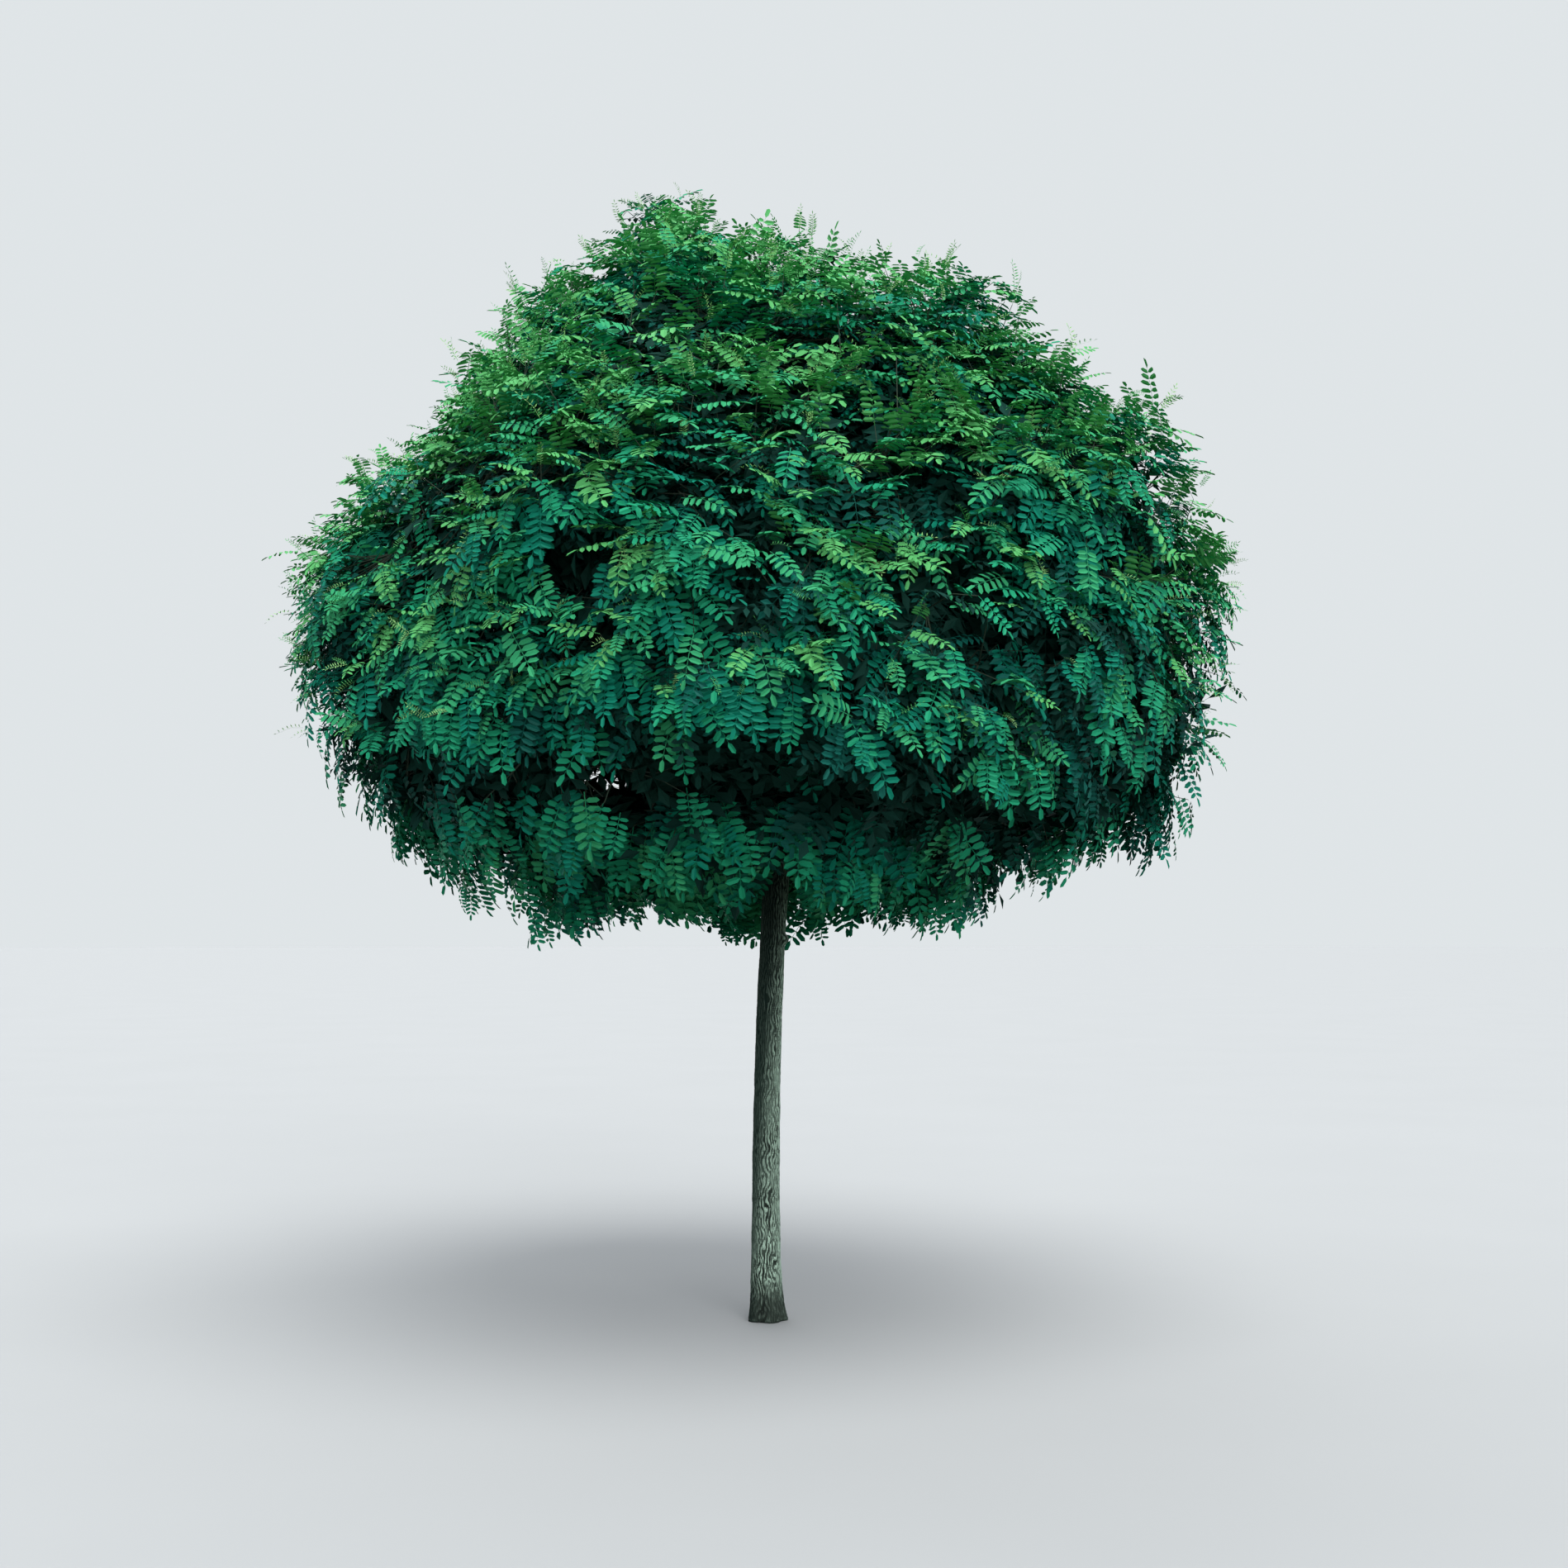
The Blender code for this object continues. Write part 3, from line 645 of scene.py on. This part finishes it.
def leafletMesh(folded):
    bm = bmesh.new()
    bmesh.ops.create_circle(bm, cap_ends=True, segments=6 if folded else 4, radius=1.0)
    bm.verts.ensure_lookup_table()
    for vert in bm.verts:
        x, y = vert.co.x, vert.co.y
        along = (y + 1.0) / 2
        if folded and 0.1 < along < 0.9:
            along = 0.26 if along < 0.5 else 0.79
            x *= 1.08 if along < 0.5 else 1.10
        vert.co = (x * leaf["leafletWidth"] / 2, along * leaf["leafletLength"],
                   abs(x) * leaf["fold"] * leaf["leafletWidth"])
    if folded:
        ends = [min(bm.verts, key=lambda v: v.co.y), max(bm.verts, key=lambda v: v.co.y)]
        bmesh.ops.connect_verts(bm, verts=ends)
    for face in bm.faces:
        face.normal_update()
        if face.normal.z < 0.0:
            face.normal_flip()
    return meshFrom(bm, "leaflet")


def leafPattern(name, leaflets):
    pairs, arch, bend, hang, folded, long, wide = leaf["patterns"][name]
    chance = random.Random(f"pattern {name}")
    bm = bmesh.new()
    bmesh.ops.create_grid(bm, x_segments=1, y_segments=2, size=0.5)

    def stalkAt(share):
        return Vector((bend * share**2, share, -arch * share**2))

    for vert in bm.verts:
        share = (vert.co.y + 0.5) * 0.93
        vert.co = stalkAt(share) + Vector((vert.co.x * 0.012 * (1.3 - share), 0.0, 0.0))

    def addLeaflet(share, turn, size, droop):
        slope = (stalkAt(share + 0.02) - stalkAt(share - 0.02)).normalized()
        tilt = Matrix.Rotation(math.atan2(slope.z, slope.y), 4, "X")
        sideways = Matrix.Rotation(turn - math.atan2(slope.x, slope.y), 4, "Z")
        roll = Matrix.Rotation(-droop, 4, "X")
        spin = Matrix.Rotation(chance.uniform(-0.30, 0.30), 4, "Y")
        before = len(bm.verts)
        bm.from_mesh(leaflets[folded])
        matrix = Matrix.Translation(stalkAt(share)) @ tilt @ sideways @ roll @ spin
        shape = Matrix.Diagonal((size * wide, size * long, size * wide, 1.0))
        bmesh.ops.transform(bm, matrix=matrix @ shape, verts=bm.verts[before:])

    for i in range(pairs):
        share = leaf["bareStalk"] + (0.92 - leaf["bareStalk"]) * i / (pairs - 0.2)
        size = 0.80 + 0.34 * math.sin(math.pi * (0.18 + 0.66 * i / (pairs - 1)))
        for side in (-1, 1):
            turn = side * math.radians(86.0 - 22.0 * i / pairs + chance.uniform(-8, 8))
            addLeaflet(share + side * chance.uniform(0.0, 0.012), turn,
                       size * chance.uniform(0.92, 1.06), hang + chance.uniform(-0.16, 0.16))
    addLeaflet(0.90, chance.uniform(-0.2, 0.2), 0.98, hang * 0.4)
    points = np.array([vert.co for vert in bm.verts], np.float32)
    quads = np.array([[vert.index for vert in face.verts] for face in bm.faces], np.int32)
    bm.free()
    return points, quads


leafletShapes = {folded: leafletMesh(folded) for folded in (True, False)}
patterns = {name: leafPattern(name, leafletShapes) for name in leaf["patterns"]}
print("leaf patterns: "
      + ", ".join(f"{name} {len(quads) * 2}" for name, (_, quads) in patterns.items()))


foliage = {
    "surfaceShoots": 4050, "leafLength": 0.194, "leavesPerShoot": 4, "shootLength": 0.32,
    # how far a shoot's tip lies below the outline, and how far its leaves may pass it
    "depth": 0.120, "past": 0.030,
    "lumps": 0.20, "ripples": 0.26, "gapBelow": -0.12, "gapDepth": 0.11,
    "shown": ("level", "arched", "swept", "turned", "short", "hooked"),
    "innerPerTwig": 6, "innerLength": 0.30, "innerShare": 0.30, "strays": 0.06,
    "twigDepth": 0.22, "clearOfLimbs": 0.025,
    # radius at the foot and at the tip
    "mainTwig": (0.0075, 0.0032), "shootTwig": (0.0036, 0.0014), "innerTwig": (0.0034, 0.0016),
    "waist": (2.04, 0.12, 0.28),  # height, half height and depth of the hollow under the rim, dark from its own shadow and from painted shade
    "parting": (0.045, 0.072, 1.85),  # where the trunk shows: middle, half width and top
    "pieceLimit": 190000,  # triangles
}

# Painted light and shade, as lit or shaded leaf tints: how light a shoot's leaves are, the start,
# what each thing adds, and the most it may come to.
paintedLight = {
    "start": 2.75, "facingUp": 1.5, "level": 1.2, "lump": 1.6, "ripple": 2.2, "clumpTop": 3.2,
    "hollow": -2.8, "low": -0.4, "dome": 1.5, "hem": 1.6, "chance": 0.6, "buried": -24.0,
    "mostInGap": 1.9, "most": 3.8,
}

# Where the crown bulges past its plain outline or draws in: middle, reach and depth.
bulges = [
    ((-1.80, -0.30, 3.22), 0.32, 0.06), ((-1.70, -0.10, 3.66), 0.38, -0.12),
    ((-1.22, 0.00, 4.16), 0.40, -0.04), ((-0.40, -0.10, 4.75), 0.25, 0.06),
    ((-0.25, 0.48, 4.42), 0.30, 0.10), ((-0.25, -0.48, 4.42), 0.30, 0.08),
    ((0.26, 0.00, 4.72), 0.42, -0.42), ((0.90, 0.00, 4.44), 0.46, -0.32),
    ((1.52, 0.00, 3.82), 0.62, -0.28), ((1.85, 0.00, 3.42), 0.45, -0.18),
    ((-1.80, -0.10, 2.36), 0.40, -0.18), ((1.86, 0.00, 2.56), 0.34, -0.09),
    ((0.50, 0.00, 1.64), 0.40, -0.11), ((-0.40, 0.00, 1.64), 0.50, -0.10),
    ((0.82, -0.25, 1.70), 0.22, 0.12), ((1.14, 0.00, 1.76), 0.30, -0.34),
    ((0.06, -0.60, 1.70), 0.34, -0.12), ((-1.00, -0.35, 1.75), 0.24, 0.20),
    ((-1.36, 0.00, 1.84), 0.34, 0.04), ((1.46, 0.00, 1.90), 0.32, 0.12),
]
collar = {"height": 3.66, "halfHeight": 0.36, "depth": 0.08}  # all round, the dome draws in there

# Small gaps right through the crown, where the sky shows: where each crosses the plane y = 0,
# and its radius.
peeps = {
    "from": Vector(view["place"]), "through": [(-0.78, 2.30), (-0.69, 2.27), (-0.62, 2.25)],
    "clear": 0.060,
}

tints = {
    # young shoots in their own paler green; the rest are one leaf green in painted light and shade:
    # sunlit tops, then ever darker painted shade deeper in
    "young": (0.29, 0.58, 0.21), "sunlit": (0.096, 0.415, 0.132), "halfLit": (0.036, 0.350, 0.150),
    "green": (0.013, 0.300, 0.152), "halfShade": (0.004, 0.220, 0.142), "deepShade": (0.005, 0.105, 0.082),
    "shade": (0.010, 0.054, 0.042), "inner": (0.010, 0.048, 0.037),
}
tintNames = list(tints)

# no leaf stands further out than this
lowest = cadBox[0] - Vector((0.052, 0.050, 0.0))
highest = cadBox[1] + Vector((0.052, 0.050, 0.030))


def bulgeAt(point):
    drawn = collar["depth"] * math.exp(-((point.z - collar["height"]) / collar["halfHeight"]) ** 2)
    return sum(depth * math.exp(-((point - Vector(at)).length / reach) ** 2)
               for at, reach, depth in bulges) - drawn


def outwardNormal(point):
    step = 0.03
    way = (point - crown["middle"]).normalized()
    inside = wayToOutline(crown["middle"], way, 0.0)
    around = Vector((-point.y, point.x + 0.001, 0.0)).normalized()
    over = around.cross(way).normalized()
    first = (way + over * step).normalized()
    second = (way + around * step).normalized()
    base = way * inside
    rise = first * wayToOutline(crown["middle"], first, 0.0) - base
    turn = second * wayToOutline(crown["middle"], second, 0.0) - base
    normal = rise.cross(turn).normalized()
    return normal if normal.dot(way) > 0.0 else -normal


# The crown parts a little at the front, round the trunk.
def inParting(spot):
    middle, halfWidth, top = foliage["parting"]
    return abs(spot.x - middle) < halfWidth and spot.y < 0.05 and spot.z < top


def inPeep(spot):
    ray = spot - peeps["from"]
    for x, z in peeps["through"]:
        way = (Vector((x, 0.0, z)) - peeps["from"]).normalized()
        if (ray - way * ray.dot(way)).length < peeps["clear"]:
            return True
    return False


Leaf = namedtuple("Leaf", "pattern base across forward upper length tint tier")


class Leaves:
    def __init__(self):
        self.found = []

    def add(self, pattern, base, forward, upper, length, tint, tier):
        across = forward.cross(upper)
        if across.length < 0.05:
            across = forward.orthogonal()
        across.normalize()
        upper = across.cross(forward)
        tip = base + forward * length - upper * (leaf["patterns"][pattern][1] * length)
        corners = [base + forward * (length * share) + across * (length * side)
                   for share in (0.35, 0.85) for side in (-0.27, 0.27)]
        for spot in (tip, *corners):
            if any(spot[i] < lowest[i] or spot[i] > highest[i] for i in range(3)):
                return False
        for spot in (tip, base + forward * (length * 0.6) + across * (length * 0.2)):
            if inParting(spot):
                return False
            near = limbTree.find_nearest(spot, foliage["clearOfLimbs"])
            if near[0] is not None:
                return False
        if any(inPeep(base + forward * (length * share)) for share in (0.1, 0.5, 0.9)):
            return False
        self.found.append(Leaf(pattern, tuple(base), tuple(across), tuple(forward), tuple(upper),
                               length, tintNames.index(tint), tier))
        return True


leaves = Leaves()
twigs = []  # paths of three points, with the radius at the foot and at the tip, and the tier
chance = random.Random("locust foliage")


def jitter(size):
    return Vector((chance.uniform(-1, 1), chance.uniform(-1, 1), chance.uniform(-1, 1))) * size


def wobble(size):
    return chance.uniform(-size, size)


def addTwig(points, root, tip, tier):
    twigs.append(([tuple(point) for point in points], root, tip, tier))


def growMainTwigs():
    for bough in boughs:
        mass = bough.mass
        way = (bough.points[-1] - bough.points[-2]).normalized()
        radius = bough.radii[-1]
        start = bough.points[-1] - way * 0.01
        addTwig(curveBetween(start, way, mass.heart, way, 3), radius, radius * 0.8, mass.tier)
        for i in range(mass.sizes["twigs"]):
            way = mass.spreadWay((i + 0.5) / mass.sizes["twigs"] * 0.98, i)
            reach = wayToOutline(mass.heart, way, -foliage["twigDepth"])
            reach += min(0.0, 1.3 * bulgeAt(mass.heart + way * reach))
            reach = min(reach, mass.wallDistance(way) - crown["spaceGap"] * 2)
            if reach < 0.06:
                continue
            end = mass.heart + way * reach
            bend = (way + up * 0.35).normalized()
            path = curveBetween(mass.heart, bend, end, way, 4)
            mass.twigs.append(path)
            addTwig(curveBetween(mass.heart, bend, end, way, 3), *foliage["mainTwig"], mass.tier)
            for k in range(foliage["innerPerTwig"]):
                share = chance.uniform(0.10, 1.0)
                base = path[0].lerp(path[-1], share) + up * 0.012
                side = way.orthogonal().normalized()
                side.rotate(Matrix.Rotation(k * goldenAngle + i, 3, way))
                forward = (side + way * 0.4 + jitter(0.25) - up * 0.35).normalized()
                upper = up * 0.8 + mass.facing * 0.6 + jitter(0.4)
                length = foliage["innerLength"] * chance.uniform(0.8, 1.1)
                # Their tints are painted shade: the darkest inside, a little lighter near the
                # twig's end.
                if not outside(base + forward * length, -0.10):
                    leaves.add("inner" if k % 2 else "innerBent", base, forward, upper, length,
                               "shade" if share > 0.8 else "inner", mass.tier)


def nearestMass(point):
    return min(masses, key=lambda mass: (mass.heart - point).length_squared)


# Where a shoot to a target leaves the twigs of its mass.
def forkFor(mass, target):
    best = None
    for path in mass.twigs:
        for share in (0.35, 0.55, 0.75, 0.95):
            point, low = alongPath(path, share)
            gap = (target - point).length
            cost = abs(gap - foliage["shootLength"]) + 0.25 * gap
            if best is None or cost < best[0]:
                best = (cost, point, (path[low + 1] - path[low]).normalized())
    return best[1], best[2]


# How far the foliage stands out near a point, in broad lumps and in low wide ripples.
def clumpAt(point):
    lump = noise.noise(Vector((point.x, point.y, point.z * 1.3)) * 1.9 + Vector((3.1, 0.0, 7.7)))
    ripple = noise.noise(Vector((point.x, point.y, point.z * 1.6)) * 3.9 + Vector((0.0, 9.2, 1.3)))
    return lump, ripple


# Painted light and shade: the brightness picks one of the lit or shaded copies of the leaf green,
# darkest first.
def tintFor(brightness):
    steps = ("shade", "deepShade", "halfShade", "green", "halfLit", "sunlit")
    return steps[max(0, min(5, int(brightness)))]


# How far a point lies in the hollow under the rim, dark from its own shadow and from painted shade,
# from 0 to 1, fading towards the sides.
def hollowAt(point):
    height, halfHeight, _ = foliage["waist"]
    depth = math.exp(-((point.z - height + 0.06 * point.x) / halfHeight) ** 2)
    depth *= smoothStep(math.hypot(point.x, point.y), 1.0, 1.3)
    return depth * (1.0 - smoothStep(abs(point.x), 1.05, 1.50))


# A shoot that ends at the target, with leaves along it. They lie level where a clump faces up,
# and hang with their faces out below it.
def growShoot(mass, target, normal, level, brightness, past):
    flat = level * (1.0 - 0.55 * smoothStep(target.z, 3.3, 4.1))
    start, along = forkFor(mass, target)
    before = len(leaves.found)
    under = smoothStep(-normal.z, 0.25, 0.75)  # 1 on the underside of the crown
    outwards = Vector((target.x, target.y, 0.0)).normalized()
    drop = (0.10 + 1.25 * (1.0 - max(0.0, normal.z))) * (1.25 - 1.20 * level)
    drop = drop * (1.0 - under) + 1.6 * under
    wayIn = (normal * 0.8 + (target - start).normalized() * 0.4 + up * (0.30 - drop) + jitter(0.2))
    path = curveBetween(start, along, target, wayIn.normalized(), 5, 0.33)
    past += 0.05 * under
    count = foliage["leavesPerShoot"] + chance.choice((-1, 0, 0, 1))
    swing = wobble(0.5)
    for k in range(count + 1):
        last = k == count
        share = 1.0 if last else 0.36 + 0.60 * (k + wobble(0.2)) / count
        place = max(0.0, min(3.999, share * 4))
        low = int(place)
        base = path[low].lerp(path[low + 1], place - low)
        run = (path[low + 1] - path[low]).normalized()
        side = run.cross(up + normal * 0.1)
        if side.length < 0.2:
            side = run.orthogonal()
        side.normalize()
        side.rotate(Matrix.Rotation(k * math.pi * 0.94 + swing, 3, run))
        forward = run * (0.9 if last else 0.5) + side * (0.25 if last else 0.95) + normal * 0.2
        forward = (forward + jitter(0.2)).normalized() - up * drop * chance.uniform(0.7, 1.35)
        forward.z *= 1.0 - 0.30 * level if forward.z > 0.0 else 1.0
        forward.normalize()
        upper = normal * (1.0 - 0.50 * flat) + up * (0.25 + 0.65 * flat) + outwards * under * 1.6
        length = foliage["leafLength"] * chance.uniform(0.80, 1.16) * (0.82 if last else 1.0)
        length *= 1.0 + 0.06 * under - 0.08 * level
        if outside(base + forward * length, past):
            length *= 0.7
            if outside(base + forward * length, past):
                continue
        if hollowAt(base + forward * length) > chance.uniform(0.35, 0.9):
            continue
        # Painted shade: the further a leaf lies in below the shoot's tip, the darker its tint.
        buried = max(0.0, (target - base - forward * (length * 0.5)).dot(normal) + 0.02)
        paintedShade = (paintedLight["buried"] + 8.0 * under) * buried
        tint = tintFor(brightness + paintedShade + wobble(paintedLight["chance"]))
        dim = tint in ("shade", "deepShade") and under < 0.3
        pattern = chance.choice(("plain", "plainBent") if dim else foliage["shown"])
        upper += jitter(0.26 + 0.9 * under)
        if leaves.add(pattern, base, forward, upper, length, tint, mass.tier):
            furthest = base
            bend = path[1 if place < 2.5 else 2]
    grown = len(leaves.found) - before
    if grown > 1:  # the twig ends at its last leaf, so that no bare tip stands out
        addTwig([path[0], bend, furthest], *foliage["shootTwig"], mass.tier)
    return path, grown


def addYoung(path, mass, normal):
    run = (path[-1] - path[-2]).normalized()
    for _ in range(chance.choice((1, 2, 2))):
        forward = (run * 0.6 + normal * 0.5 + up * 0.25 + jitter(0.6)).normalized()
        tint = "young" if chance.random() < 0.45 else "sunlit"
        pattern = chance.choice(("young", "young", "curled"))
        upper = normal * 0.2 + up * 0.6 + jitter(0.7)
        leaves.add(pattern, path[-1], forward, upper, chance.uniform(0.055, 0.110), tint, mass.tier)


# A short shoot well inside, whose broad leaves, in the darkest painted-shade tint, close the crown
# behind the outer ones.
def growInner(target, normal):
    mass = nearestMass(target)
    start, along = forkFor(mass, target)
    way = (target - start).normalized()
    addTwig(curveBetween(start, along, target, way, 3), *foliage["innerTwig"], mass.tier)
    for k in range(2):
        side = normal.orthogonal().normalized()
        side.rotate(Matrix.Rotation(chance.uniform(0.0, math.tau), 3, normal))
        forward = (side - up * 0.5 + jitter(0.3)).normalized()
        base = target - forward * 0.13 * (1 - k)
        leaves.add("inner" if k else "innerBent", base, forward, normal + up * 0.3 + jitter(0.3),
                   foliage["innerLength"] * chance.uniform(0.9, 1.15), "inner", mass.tier)


def growSurface():
    middle = crown["middle"]
    grown = 0
    total = int(foliage["surfaceShoots"] * 2.0)
    for i in range(total):
        z = 1.0 - 2.0 * (i + 0.5) / total
        flat = math.sqrt(1.0 - z * z)
        way = Vector((flat * math.cos(i * goldenAngle), flat * math.sin(i * goldenAngle), z))
        reach = wayToOutline(middle, way, 0.0)
        point = middle + way * reach
        normal = outwardNormal(point)
        facing = max(0.35, normal.dot(way))
        if chance.random() > 0.62 * (reach / 1.93) ** 2 / facing:  # as many on each square metre
            continue
        lump, ripple = clumpAt(point)
        above = clumpAt(point + up * 0.07)
        facesUp = (lump - above[0]) + (ripple - above[1])  # on top of a clump, or below it
        lift = foliage["lumps"] * lump + foliage["ripples"] * ripple + bulgeAt(point)
        behind = point - normal * (foliage["depth"] + chance.uniform(0.16, 0.34) - min(0.0, lift))
        gap = ripple + 0.5 * lump + 0.35 * facesUp < foliage["gapBelow"] and chance.random() < 0.85
        if gap or chance.random() < foliage["innerShare"]:
            growInner(behind, normal)
        if gap and chance.random() < 0.45:
            continue
        waist = hollowAt(point)
        if chance.random() < 0.95 * waist:
            continue
        lift += wobble(0.03) - foliage["waist"][2] * waist
        past = max(foliage["past"] + bulgeAt(point), min(foliage["past"], lift - 0.04))
        if chance.random() < foliage["strays"] and normal.z > -0.3:
            stray = chance.uniform(0.03, 0.09)
            lift += stray
            past += stray
        if gap:
            lift -= foliage["gapDepth"]
        target = point - normal * (foliage["depth"] - lift)
        if normal.z < -0.4:  # the underside hangs in tufts
            tuft = noise.noise(point * 6.5)
            if chance.random() < 0.55 - 0.9 * tuft:
                continue
            target.z += chance.uniform(-0.02, 0.10) - 0.12 * tuft
        mass = nearestMass(target)
        # Painted light and shade: the tint grows lighter where the crown faces up, where clumps
        # stand out or lie level on top, on the dome and on the lowest leaves below the hollow. It
        # grows darker low down and in the hollow under the rim, and it stays dark in gaps.
        light = 0.5 + 0.5 * normal.z
        low = 1.0 - smoothStep(point.z, 2.2, 3.2)
        level = smoothStep(facesUp + 0.8 * normal.z, -0.26, 0.20)
        brightness = (paintedLight["start"] + paintedLight["facingUp"] * light
                      + paintedLight["level"] * level + paintedLight["lump"] * lump
                      + paintedLight["ripple"] * ripple + paintedLight["clumpTop"] * facesUp
                      + paintedLight["hollow"] * waist)
        brightness += (wobble(paintedLight["chance"]) + paintedLight["low"] * low
                       + paintedLight["dome"] * smoothStep(point.z, 3.1, 4.0))
        brightness += paintedLight["hem"] * smoothStep(-point.z, -2.04, -1.92)
        most = paintedLight["most"] + (2.5 - 1.5 * low) * level
        brightness = min(brightness, paintedLight["mostInGap"] if gap else most)
        path, count = growShoot(mass, target, normal, level, brightness, past)
        grown += 1
        young = 0.15 + 0.30 * light + 0.30 * level
        if not gap and count > 3 and normal.z > -0.35 and chance.random() < young:
            addYoung(path, mass, normal)
    return grown


growMainTwigs()
print(f"main twigs: {len(twigs)}, inner leaves: {len(leaves.found)}")
surfaceShoots = growSurface()
print(f"surface shoots: {surfaceShoots}, leaves: {len(leaves.found)}")


def joinedMesh(name, points, corners, counts, slots=None):
    mesh = bpy.data.meshes.new(name)
    mesh.vertices.add(len(points))
    mesh.vertices.foreach_set("co", np.ascontiguousarray(points, np.float32).ravel())
    mesh.loops.add(len(corners))
    mesh.loops.foreach_set("vertex_index", np.ascontiguousarray(corners, np.int32))
    mesh.polygons.add(len(counts))
    starts = np.concatenate([[0], np.cumsum(counts)[:-1]]).astype(np.int32)
    mesh.polygons.foreach_set("loop_start", starts)
    if slots is not None:
        mesh.polygons.foreach_set("material_index", np.ascontiguousarray(slots, np.int32))
    mesh.update(calc_edges=True)
    return mesh


def leafFinish(name, colour):
    gloss = 0.03 if name in ("shade", "inner") else 0.10
    return Finish(f"leaf_{name}", Base_Color=rgb(*colour), Roughness=0.55,
                  Specular_IOR_Level=gloss).material


def joinLeaves():
    finishes = [leafFinish(name, colour) for name, colour in tints.items()]
    pieces = 0
    faces = 0
    for tier in tiers:
        group = [entry for entry in leaves.found if entry.tier == tier]
        sizes = [len(patterns[entry.pattern][1]) for entry in group]
        parts = math.ceil(sum(sizes) * 2 / foliage["pieceLimit"])
        for part in range(parts):
            chosen = group[part::parts]
            blocks, quads, slots, offset = [], [], [], 0
            for name, (points, faceList) in patterns.items():
                own = [entry for entry in chosen if entry.pattern == name]
                if not own:
                    continue
                turn = np.array([entry[2:5] for entry in own], np.float32)  # its three directions
                size = np.array([entry.length for entry in own], np.float32)
                place = np.array([entry.base for entry in own], np.float32)
                made = np.einsum("pk,nkc->npc", points, turn) * size[:, None, None] + place[:, None]
                blocks.append(made.reshape(-1, 3))
                shift = offset + np.arange(len(own))[:, None, None] * len(points)
                quads.append((faceList[None] + shift).reshape(-1, 4))
                slots.append(np.repeat([entry.tint for entry in own], len(faceList)))
                offset += len(own) * len(points)
            quads = np.concatenate(quads)
            name = f"leaves_{tier}_{part + 1}"
            mesh = joinedMesh(name, np.concatenate(blocks), quads.ravel(),
                              np.full(len(quads), 4), np.concatenate(slots))
            mesh.shade_flat()
            for finish in finishes:
                mesh.materials.append(finish)
            made = linked(name, mesh)
            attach(made, "root")
            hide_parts(*(f"mass_{mass.name}" for mass in masses if mass.tier == tier))
            pieces += 1
            faces += len(quads) * 2
    print(f"leaves: {len(leaves.found)} in {pieces} pieces, {faces} triangles")


def joinTwigs():
    sides = 3
    paths = np.array([entry[0] for entry in twigs], np.float64)
    root = np.array([entry[1] for entry in twigs])
    tip = np.array([entry[2] for entry in twigs])
    count, rings = paths.shape[:2]
    shares = np.linspace(0.0, 1.0, rings)
    radii = root[:, None] + (tip - root)[:, None] * shares[None]
    along = np.gradient(paths, axis=1)
    along /= np.linalg.norm(along, axis=2, keepdims=True)
    apart = np.eye(3)[np.abs(along.mean(axis=1)).argmin(axis=1)]
    side = np.cross(along, apart[:, None, :])
    side /= np.linalg.norm(side, axis=2, keepdims=True)
    other = np.cross(along, side)
    turn = np.arange(sides) * math.tau / sides
    ring = (side[:, :, None] * np.cos(turn)[:, None] + other[:, :, None] * np.sin(turn)[:, None])
    points = (paths[:, :, None] + ring * radii[:, :, None, None]).reshape(-1, 3)
    quads = []
    for r in range(rings - 1):
        for s in range(sides):
            t = (s + 1) % sides
            quads.append([r * sides + s, r * sides + t, (r + 1) * sides + t, (r + 1) * sides + s])
    last = (rings - 1) * sides
    ends = np.array([[last, last + 1, last + 2], [2, 1, 0]])
    shift = np.arange(count)[:, None, None] * rings * sides
    quads = (np.array(quads)[None] + shift).reshape(-1, 4)
    ends = (ends[None] + shift).reshape(-1, 3)
    counts = np.concatenate([np.full(len(quads), 4), np.full(len(ends), 3)])
    mesh = joinedMesh("twigs", points, np.concatenate([quads.ravel(), ends.ravel()]), counts)
    mesh.shade_smooth()
    finish = Finish("green_twig", Roughness=0.7)
    thin = finish.noise(finish.place(), 14.0, 3.0)
    finish.set(Base_Color=finish.mix(thin, rgb(0.009, 0.018, 0.011), rgb(0.020, 0.052, 0.024)))
    mesh.materials.append(finish.material)
    made = linked("twigs", mesh)
    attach(made, "root")
    print(f"twigs: {count}, {len(quads) * 2 + len(ends)} triangles")


joinLeaves()
joinTwigs()
